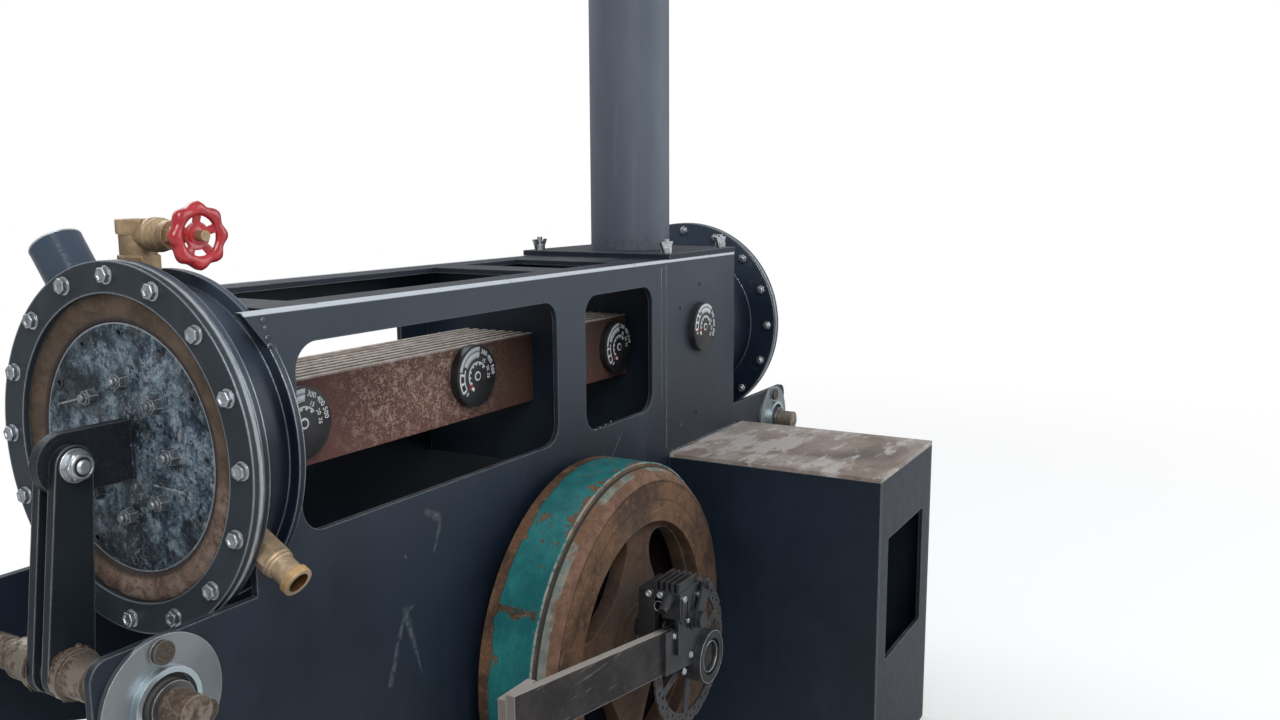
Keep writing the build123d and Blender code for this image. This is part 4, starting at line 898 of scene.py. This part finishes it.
def set_out(name, model, places, body="frame", node=None):
    """Copies of a model at each place as one piece riding on a body."""
    settle(copied(name, [(model, place) for place in places]), None, body, node)


def drop(*models):
    """Clear away models whose copies are set out."""
    for model in models:
        bpy.data.objects.remove(model, do_unlink=True)


def set_out_once(name, model, places):
    """Copies of a model that is needed no more."""
    set_out(name, model, places)
    drop(model)


def worked(piece, kind, **settings):
    """Add a modifier to a piece and apply it."""
    pick(piece)
    modifier = piece.modifiers.new(kind.lower(), kind)
    for key, value in settings.items():
        setattr(modifier, key, value)
    bpy.ops.object.modifier_apply(modifier=modifier.name)
    return piece


def bevelled(piece, width, segments=2):
    """Piece with its sharp edges bevelled."""
    return worked(piece, "BEVEL", width=width / 1000, segments=segments, limit_method="ANGLE", angle_limit=radians(25))


def hex_head(name, radius, height, finish, washer=0.0, dish=0.0):
    """Hexagon head or nut with chamfered corners, a washer face under it and a dished middle."""
    turned(name, [(radius, washer), (radius, washer + height * 0.84), (radius * 0.9, washer + height)], finish, 6)
    bpy.ops.object.mode_set(mode="EDIT")
    pick_faces(lambda middle, normal: normal.z > 0.9 and middle.z > (washer + height * 0.9) / 1000)
    if dish:
        bpy.ops.mesh.inset(thickness=radius * 0.22 / 1000)
        bpy.ops.mesh.inset(thickness=radius * 0.1 / 1000)
        bpy.ops.transform.translate(value=(0, 0, -dish / 1000))
    head = bevelled(leave_edit(name, finish, 30), 0.25, 1)
    if washer:
        profile = [(radius * 1.12, 0), (radius * 1.12, washer * 0.8), (radius * 1.05, washer)]
        head = joined(name, [head, turned(name + "_washer", profile, finish, 20)])
    return head


def threaded(name, radius, length, pitch, finish, steps=18):
    """Threaded end: crests and roots drawn out along the Z axis, with a chamfered tip."""
    root = radius * 0.88
    profile = [(root, 0.0)]
    for turn in range(round(length / pitch)):
        profile += [(radius, (turn + 0.5) * pitch), (root, (turn + 1) * pitch)]
    profile.append((root * 0.82, profile[-1][1] + pitch * 0.5))
    return turned(name, profile, finish, steps, angle=20)


# Clamp ring bolts, with their nuts behind the flange; the valve's elbow stands where one nut would
bolt_head = hex_head("bolt_head", 6.3, 4.4, bright_zinc, 1.1, 1.2)
ring_nut = hex_head("ring_nut", 6.2, 3.6, zinc)
ring_nut = joined("ring_nut", [ring_nut, raised(threaded("ring_nut_end", 3.6, 2.2, 1.1, zinc, 12), 3.6)])
for end, side in ENDS:
    angles = [radians(22.5 * i) for i in range(16)]
    places = [on_ring(RING_FACE, BOLT_CIRCLE, a, side, 1, random.uniform(0, pi / 3)) for a in angles]
    set_out(f"{end}_ring_bolts", bolt_head, places)
    if end == "cold":
        del angles[2]
    places = [on_ring(FLANGE_BACK, BOLT_CIRCLE, a, side, -1, random.uniform(0, pi / 3)) for a in angles]
    set_out(f"{end}_ring_nuts", ring_nut, places)
drop(bolt_head, ring_nut)


# Leather diaphragms, clamped at their edge and bulging where the leather has crept
def soft_bulge(side, angle, radius):
    """How far the leather stands out at an angle from 3 o'clock and a radius."""
    turn = (angle + pi) % (2 * pi) - pi
    start, end = radians(-132), radians(2)
    reach = max(0.0, min((turn - start) / 0.5, (end - turn) / 0.45, 1.0))
    reach = reach * reach * (3 - 2 * reach)
    if side > 0:
        reach *= 0.45
    across = (radius - 0.1092) / 0.0088
    hump = max(0.0, 1 - across * across) ** 0.5
    lumps = 0.8 + 0.16 * sin(angle * 19 + 1.3 * sin(angle * 7)) + 0.1 * sin(angle * 47 + 2 * sin(angle * 5))
    lie = 0.0006 * sin(angle * 9 + 2 * side) * max(0.0, 1 - abs(radius - 0.1075) / 0.0105)
    return hump * reach * 0.0062 * lumps + hump * (1 - reach) * 0.0006 + lie


def diaphragm(end, side):
    radii = metres([141.8, 130, 119.5, 118.2, 117.2, 116.2, 114.8, 113.2, 111.6, 110, 108.4,
                    106.8, 105.4, 104.3, 103.3, 101.2, 99, 96.6])
    ring_of(radii[0], 224)
    for last, radius in zip(radii, radii[1:]):
        draw_out(radius, 0.0, last, 0.0)
    sheet = leave_edit(f"{end}_leather", leather, 180)
    for point in sheet.data.vertices:
        radius, angle = hypot(point.co.x, point.co.y), atan2(point.co.y, point.co.x)
        if radius < 0.119:
            point.co.z += soft_bulge(side, angle, radius)
        elif radius > 0.141:
            share = 1 + 0.0016 * sin(angle * 17) * sin(angle * 29 + 1)
            point.co.x, point.co.y = point.co.x * share, point.co.y * share
    worked(sheet, "SOLIDIFY", thickness=0.0026, offset=0)
    basis = Matrix(((0, side, 0), (0, 0, 1), (side, 0, 0))).transposed().to_4x4()
    place = Matrix.Translation((side * LEATHER_X, 0, DRUM_Z)) @ basis
    settle(sheet, place, node=f"{end}_diaphragm")


for end, side in ENDS:
    diaphragm(end, side)


def worked_copy(node, name):
    """Copy of a node's mesh with its doubles merged, ready to be worked."""
    copy = bpy.data.objects.new(name, nodes[node].data.copy())
    copy.matrix_world = nodes[node].matrix_world
    copy.data.name = name
    bpy.context.collection.objects.link(copy)
    pick(copy)
    fix_place()
    bpy.ops.mesh.customdata_custom_splitnormals_clear()
    start_edit()
    bpy.ops.mesh.remove_doubles(threshold=0.00002)
    bpy.ops.object.mode_set(mode="OBJECT")
    smooth(30)
    return copy


# Pistons with their studs cut short, threads on the studs and burrs round the rim holes
stud_thread = threaded("stud_thread", 3.4, 4.6, 1.15, stud_steel, 14)
stud_collar = turned("stud_collar", [(4.4, 0), (4.4, 1.2), (3.8, 1.7)], stud_steel, 14)
rim_ring = turned("rim_ring", [(2.6, 0), (3.4, 0.2), (3.8, 0.7), (3, 1), (2.5, 0.6)], disc_steel, 16, closed=True)
for end, side in ENDS:
    plate = worked_copy(f"{end}_piston", f"{end}_piston_plate")
    for point in plate.data.vertices:
        place = point.co
        if side * place.x > PISTON_PROUD and hypot(place.y, place.z - DRUM_Z) > 0.036:
            nearest = radians(45) * round(atan2(place.z - DRUM_Z, place.y) / radians(45))
            axis_y, axis_z = STUD_CIRCLE * cos(nearest), DRUM_Z + STUD_CIRCLE * sin(nearest)
            place.y, place.z = axis_y + 0.82 * (place.y - axis_y), axis_z + 0.82 * (place.z - axis_z)
            place.x = side * min(side * place.x, STUD_END)
    settle(plate, None, f"{end}_piston_body", f"{end}_piston")
    for name, model, out, radius, count in (
        ("stud_threads", stud_thread, 0.0068, STUD_CIRCLE, 8),
        ("stud_collars", stud_collar, 0.0069, STUD_CIRCLE, 8),
        ("rim_rings", rim_ring, 0, RIM_CIRCLE, 12),
    ):
        places = [on_ring(PISTON_FACE + out, radius, radians(360 / count * i), side) for i in range(count)]
        set_out(f"{end}_{name}", model, places, f"{end}_piston_body")
drop(stud_thread, stud_collar, rim_ring)

# Pivot bolts: shank, washer and a lock nut with a dark ring round the bolt's bright end
lock_end = joined("lock_end", [
    turned("half_shank", [(6, 0), (6, 20)], zinc, 24),
    turned("flat_washer", [(12.1, 12.8), (12.5, 13.1), (12.5, 14.5), (12.1, 14.8)], zinc, 36),
    raised(hex_head("lock_nut", 11, 6.2, chrome), 14.8),
    turned("nut_crown", [(9.4, 20.5), (9.4, 21.6), (8.6, 22.6), (7.4, 22.8), (6.9, 22.2), (6.9, 20)], chrome, 36),
    turned("dark_ring", [(6.9, 20.5), (6.9, 22.1), (6.2, 22.4), (5.5, 22.2)], dial_black, 30),
    raised(threaded("bolt_end", 5.4, 4.2, 1, chrome, 20), 20.5),
])
for end, side in ENDS:
    places = [standing((side * PIVOT_X, 0, DRUM_Z), (0, way, 0), radians(30)) for way in (-1, 1)]
    set_out(f"{end}_lock_nuts", lock_end, places, f"{end}_rocker", f"{end}_pivot_bolt")
drop(lock_end)


# Dial faces: pale bands, ticks and plain numbers printed on charcoal
def dial_band(name, inner, outer, start, end, finish):
    """Printed band between two radii and two angles, counted from 3 o'clock."""
    inner, outer = metres((inner, outer))
    ring_of(inner, 120)
    draw_out(outer, 0.0, inner, 0.0)
    pick_faces(lambda middle, normal: (atan2(middle.y, middle.x) - radians(start)) % (2 * pi) > radians(end - start))
    bpy.ops.mesh.delete(type="FACE")
    return worked(leave_edit(name, finish, 30), "SOLIDIFY", thickness=0.0002, offset=1)


def dial_number(text, size, radius, angle):
    """Plain number standing on the dial at a radius and an angle from 3 o'clock."""
    pick()
    bpy.ops.object.text_add(location=(0, 0, 0))
    number = bpy.context.active_object
    for key, value in {"body": text, "size": size / 1000, "align_x": "CENTER", "align_y": "CENTER",
                       "resolution_u": 2, "extrude": 0.0001}.items():
        setattr(number.data, key, value)
    bpy.ops.object.convert(target="MESH")
    number = bpy.context.active_object
    number.data.materials.clear()
    number.data.materials.append(white_print.material)
    place = Matrix.Translation((0, radius / 1000, 0.0001))
    number.matrix_world = Matrix.Rotation(radians(angle - 90), 4, "Z") @ place
    fix_place()
    return number


plate = turned("dial_plate", [(30.9, -1), (30.9, 0.4), (30.3, 0.8)], dial_grey, 60)
pieces = [dial_band(*band) for band in (
    ("pale_zone", 18.6, 24.6, 81, 150, pale_print),
    ("pale_zone_edge", 25.4, 29.6, 81, 166, pale_print),
    ("low_zone_outer", 27.2, 28.8, 169, 214, white_print),
    ("low_zone_inner", 20.4, 21.7, 155, 214, white_print),
    ("inner_arc", 13, 14.8, 33, 214, pale_print),
    ("middle_ring", 3, 4.8, 0, 360, white_print),
)]
pieces += [dial_band("zone_end", 21.7, 27.2, angle - 4.4, angle + 1.6, white_print) for angle in (172, 192, 213)]
pieces += [dial_band("tick", 11.2, 13.1, angle - 7.4, angle + 4.6, white_print) for angle in range(212, 43, -28)]
pieces += [dial_number(text, 7, 25, angle) for text, angle in (("300", 64), ("400", 36), ("500", 8))]
pieces += [dial_number(text, 5.8, 17.8, angle) for text, angle in (("15", 54), ("20", 20), ("25", -6))]
pieces += [
    dial_number("0", 6.4, 23.2, 224),
    dial_band("red_mark", 10.5, 18.5, 216, 229, red_print),
    dial_band("white_mark", 13, 16.5, 229, 246, white_print),
    turned("pointer_pivot", [(3, 0), (3, 0.8), (2, 1.2)], bracket_black, 16),
]
dial = joined("dial_face", [plate, raised(joined("dial_face", pieces), 0.8)])
places = [near_side(x, STACK_DIAL_FACE, z, radians(turn))
          for x, z, turn in ((-0.342, 0.515, 4), (-0.108, 0.52, 0), (0.175, 0.514, 8))]
set_out("stack_dial_faces", dial, places)
set_out_once("hot_box_dial_face", dial, [near_side(0.287, HOT_BOX_DIAL_FACE, 0.53, radians(-30))])

# Brake disc, drilled and with a scalloped rim
drill = turned("drill", [(2.1, -4), (2.1, 4)], disc_steel, 10)
scallop = turned("scallop", [(3, -4), (3, 4)], disc_steel, 12)
cutter = copied("disc_cutter", [
    (model, near_side(CRANK[0] + radius * cos(angle), DISC_Y, CRANK[1] + radius * sin(angle)))
    for model, radius, shift in ((drill, 0.07, 0.0), (drill, 0.0655, 7.5), (scallop, 0.0772, 7.5))
    for angle in (radians(15 * i + shift) for i in range(24))
])
disc = worked_copy("brake_disc", "drilled_brake_disc")
worked(disc, "BOOLEAN", operation="DIFFERENCE", solver="EXACT", object=cutter)
smooth(30)
settle(disc, None, "crank", "brake_disc")
drop(drill, scallop, cutter)

# Red handwheel: thick wavy rim, dished spokes and a boss with the stem's nut
rim = turned("wheel_rim", [(14.8, 4.6), (15, 6.6), (17.6, 7.8), (20.6, 8), (23, 6.8), (24, 4.2), (23.8, 1.2),
                           (22.8, 0.4), (21.9, 2.4), (19.6, 4.4)], red_enamel, 96, closed=True, angle=60)
for point in rim.data.vertices:
    radius, angle = hypot(point.co.x, point.co.y), atan2(point.co.y, point.co.x)
    share = max(0.0, (radius - 0.0165) / 0.0075)
    grown = radius + 0.0014 * share * cos(8 * angle)
    point.co.x, point.co.y = grown * cos(angle), grown * sin(angle)
    point.co.z = min(0.008, point.co.z + 0.0006 * share * cos(8 * angle))
wheel_parts = [
    rim,
    turned("wheel_boss", [(6.2, 0), (7, 0.6), (7, 3), (5.8, 3.8), (3.6, 3.8)], red_enamel),
    turned("wheel_inner_ring", [(6.6, 1.2), (6.6, 3.2), (8.6, 3.8), (10.4, 3.6), (10.6, 2), (9.2, 1.2)],
           red_enamel, 42, closed=True),
    raised(hex_head("stem_nut", 4, 2.4, zinc), 3.8),
]
for i in range(5):
    spoke = block("wheel_spoke", (8, -3.4, 1.4), (18, 3.4, 3.6), red_enamel, 0.9)
    for point in spoke.data.vertices:
        far = (point.co.x - 0.008) / 0.01
        point.co.z += 0.0032 * far * far
        point.co.y *= 0.84 + 0.9 * (far - 0.4) ** 2
    spoke.data.transform(Matrix.Rotation(radians(72 * i + 20), 4, "Z"))
    wheel_parts.append(spoke)
handwheel = joined("dished_handwheel", wheel_parts)
settle(handwheel, near_side(PORT_X, HANDWHEEL_BACK, VALVE_Z), "valve_wheel", "valve_handwheel")

# Valve's bell with its ridges, the packing nut, thread crests in the open socket, and two hexagons
bell = turned("valve_bell", [(10, 0), (12.8, 1), (13.2, 5), (12.2, 6.6), (13.1, 7.8), (12.9, 11.2), (11.9, 12.8),
                             (12.2, 14), (11.2, 16.5), (8.8, 18)], brass, 36)
packing_nut = turned("packing_nut", [(9.6, 17), (9.6, 22.5), (8.4, 26.5), (6.6, 34.5), (5, 36.5)], brass, 6, angle=25)
bevelled(packing_nut, 0.5)
settle(joined("valve_bonnet_dress", [bell, packing_nut]), near_side(PORT_X, -0.0065, VALVE_Z))
crests = [(10.5, 0), (9.8, 0.6), (10.5, 1.2), (9.8, 1.8), (10.5, 2.4), (9.8, 3), (10.6, 3.6), (10.7, 0)]
socket_threads = turned("socket_threads", crests, gold_brass, 32, closed=True, angle=20)
settle(socket_threads, standing((PORT_X, VALVE_Y, 0.6806), (0, 0, 1)))
for name, low, high in (("upper_hexagon", 674, 685.2), ("lower_hexagon", 642.8, 658.2)):
    profile = [(16, low), (16.8, low + 1.1), (16.8, high - 1.1), (16, high), (10.8, high), (10.8, low)]
    band = bevelled(turned(name, profile, brass, 6, closed=True, angle=25), 0.6)
    settle(band, Matrix.Translation((PORT_X, VALVE_Y, 0)) @ Matrix.Rotation(HEX_TURN, 4, "Z"))

# Bare rim of the stub's open mouth
mouth = [(17.8, -1.2), (17.8, 0.3), (18.6, 0.6), (20, 0.6), (21, 0.1), (21, -1.2)]
mouth_rim = turned("mouth_rim", mouth, bare_rim, 48, closed=True)
stub_out = Vector((0, sin(STUB_ANGLE), cos(STUB_ANGLE)))
settle(mouth_rim, standing(Vector((PORT_X, 0, DRUM_Z)) + STUB_LENGTH * stub_out, stub_out))

# Small studs left on the hot box plate
plate_stud = turned("plate_stud", [(2.2, 0), (2.2, 1.6), (1.4, 2.2)], weld_black, 10)
places = [near_side(x, PLATE_Y, z) for x, z in ((0.2905, 0.585), (0.283, 0.4185), (0.236, 0.559))]
set_out_once("hot_box_studs", plate_stud, places)

# Brass nipple: clamped collar at the elbow and golden thread at the mouth
profile = []
for i in range(4):
    start = 166.5 + i * 1.6
    profile += [(11.2, start), (11.85, start + 0.5), (11.85, start + 0.9)]
profile += [(11, 172.9), (9.2, 173), (9, 166.5)]
mouth_thread = turned("mouth_thread", profile, gold_brass, 40, closed=True, angle=20)
profile = [(9.8, 146.2), (11.8, 146.6), (12.2, 149), (11.4, 150.6), (11.7, 152), (10.8, 153.6), (9.8, 154)]
collar = turned("nipple_collar", profile, pale_brass, 36, closed=True)
nipple_place = standing((-0.446, 0, DRUM_Z), (0, sin(NIPPLE_ANGLE), cos(NIPPLE_ANGLE)))
settle(joined("nipple_dress", [mouth_thread, collar]), nipple_place)


# Weld: short runs of flattened drops, each its own shape
def weld_drop(finish):
    """Flattened drop a millimetre in radius."""
    return turned("weld_drop", [(1, 0), (0.86, 0.42), (0.45, 0.7)], finish, 8, angle=60)


def weld_run(name, start, end, width, step, out=(0, -1, 0)):
    """Row of black weld drops on the near plate from one place to another."""
    start, end = (Vector((x, PLATE_Y, z)) for x, z in (start, end))
    drops = weld_drop(weld_black)
    count = max(2, int((end - start).length * 1000 / step))
    places = []
    for i in range(count):
        spot = start.lerp(end, (i + random.uniform(-0.2, 0.2)) / (count - 1))
        size = width * random.uniform(0.75, 1.2)
        grow = Matrix.Diagonal((size * random.uniform(0.9, 1.4), size, size * random.uniform(0.5, 0.9), 1))
        places.append(standing(spot, out, random.uniform(0, pi)) @ grow)
    set_out_once(name, drops, places)


for name, low, high in (
    ("hot_box_seam", (196.5, -108.5, 388), (199, -107, 614)),
    ("hot_box_seam_edge", (185, -108.3, 450), (186.1, -107, 612)),
):
    seam = block(name, low, high, weld_black, 0.4, 1)
    start_edit()
    bpy.ops.mesh.subdivide(number_cuts=3)
    bpy.ops.object.mode_set(mode="OBJECT")
    for point in seam.data.vertices:
        point.co.x += 0.0004 * sin(point.co.z * 140) + 0.0003 * sin(point.co.z * 371)
    settle(seam)
weld_run("hot_box_seam_spatter", (0.1975, 0.392), (0.198, 0.445), 1.3, 6.0)
weld_run("window_corner_weld", (0.03, 0.443), (0.062, 0.446), 1.2, 7.0)
weld_run("plate_corner_weld", (-0.4278, 0.6135), (-0.4222, 0.5925), 3.0, 5.2)
weld_run("firebox_top_weld", (0.212, 0.3815), (0.404, 0.3815), 1.2, 4.5, (0, -0.7, 0.7))
for end, side in ENDS:
    ring_drop = weld_drop(weld_brown)
    places = []
    for way in (-1, 1):
        for i in range(10):
            angle = radians(36 * i + random.uniform(-13, 13))
            size = 4.2 * random.uniform(0.6, 1.3)
            spot = (side * ROCKER[0] + 0.0178 * cos(angle), way * 0.015, ROCKER[1] + 0.0178 * sin(angle))
            grow = Matrix.Diagonal((size * 0.9, size * 1.4, size * 0.55, 1))
            places.append(standing(spot, (cos(angle), way * 0.9, sin(angle))) @ grow)
    set_out(f"{end}_lever_weld", ring_drop, places, f"{end}_rocker")
    drop(ring_drop)

# Weld tacks along the far top edges of the sheets
tack = turned("sheet_tack", [(1.9, 0), (1.8, 1.2), (1, 1.9)], chrome, 8, angle=60)
places = [
    standing((-0.0455 + random.uniform(-0.0006, 0.0006), -0.04 + 0.012 * i, STACK_TOP - 0.0012), (0, 0, 1))
    for i in range(8)
]
set_out_once("sheet_tacks", tack, places)

# Brake: bright bolts, pad pins, adjuster ribs and the bolts of the hub plate
socket_bolt = turned("socket_bolt", [(3.4, 0), (3.4, 2), (3, 2.5), (2, 2.5), (1.8, 1)], zinc, 18)
small_bolt = hex_head("small_bolt", 3, 1.6, zinc, 0.5)
places = [near_side(-0.0815, CALIPER_FACE, 0.3155), near_side(-0.05, CALIPER_FACE, 0.31),
          standing((-0.088, -0.2525, 0.3185), (-1, 0, 0)), standing((-0.088, -0.24, 0.318), (-1, 0, 0))]
set_out_once("caliper_bolts", socket_bolt, places)
places = [near_side(x, HUB_PLATE_FACE, z) for x, z in ((-0.089, 0.28), (-0.0545, 0.248), (-0.069, 0.236))]
set_out_once("hub_plate_bolts", small_bolt, places)
profile = [(4.6, 0)]
for i in range(7):
    profile += [(5.1, 0.8 + i * 3), (5.1, 2.2 + i * 3), (4.5, 2.7 + i * 3)]
barrel = turned("adjuster_ribs", profile + [(3, 24)], bracket_black, 16, angle=20)
settle(barrel, standing((-0.081, -0.262, 0.3195), (-1, 0, -0.5)))
spring_clip = turned("pad_spring", [(4.4, -0.4), (5, -0.4), (5, 0.4), (4.4, 0.4)], chrome, 28, closed=True)
settle(spring_clip, standing((-0.0893, -0.251, 0.307), (-1, 0, 0.2)))
pad_pin = turned("pad_pin", [(1.3, 0), (1.3, 8.5), (2.4, 8.5), (2.4, 9.7), (1.8, 10.2)], zinc, 12)
places = [near_side(x, -0.267, 0.2925) for x in (-0.076, -0.052)]
set_out_once("pad_pins", pad_pin, places)
ribs = [block("caliper_rib", (12 * i - 85, -275, 294.5), (12 * i - 82.2, -273, 313), caliper_black, 0.5)
        for i in range(4)]
settle(joined("caliper_ribs", ribs))

# Bright rings of the outboard bearing
outer_ring = turned("outboard_ring", [(26.4, 0), (27, 0.1), (27, 0.5), (26.3, 0.6)], bearing_zinc, 48, closed=True)
inner_race = turned("outboard_race", [(15.2, -3.4), (16.3, -3.4), (16.3, -1.2), (15.7, -0.8), (15.2, -1.4)],
                    bearing_zinc, 40, closed=True)
settle(joined("outboard_rings", [outer_ring, inner_race]), near_side(CRANK[0], -0.2745, CRANK[1]))
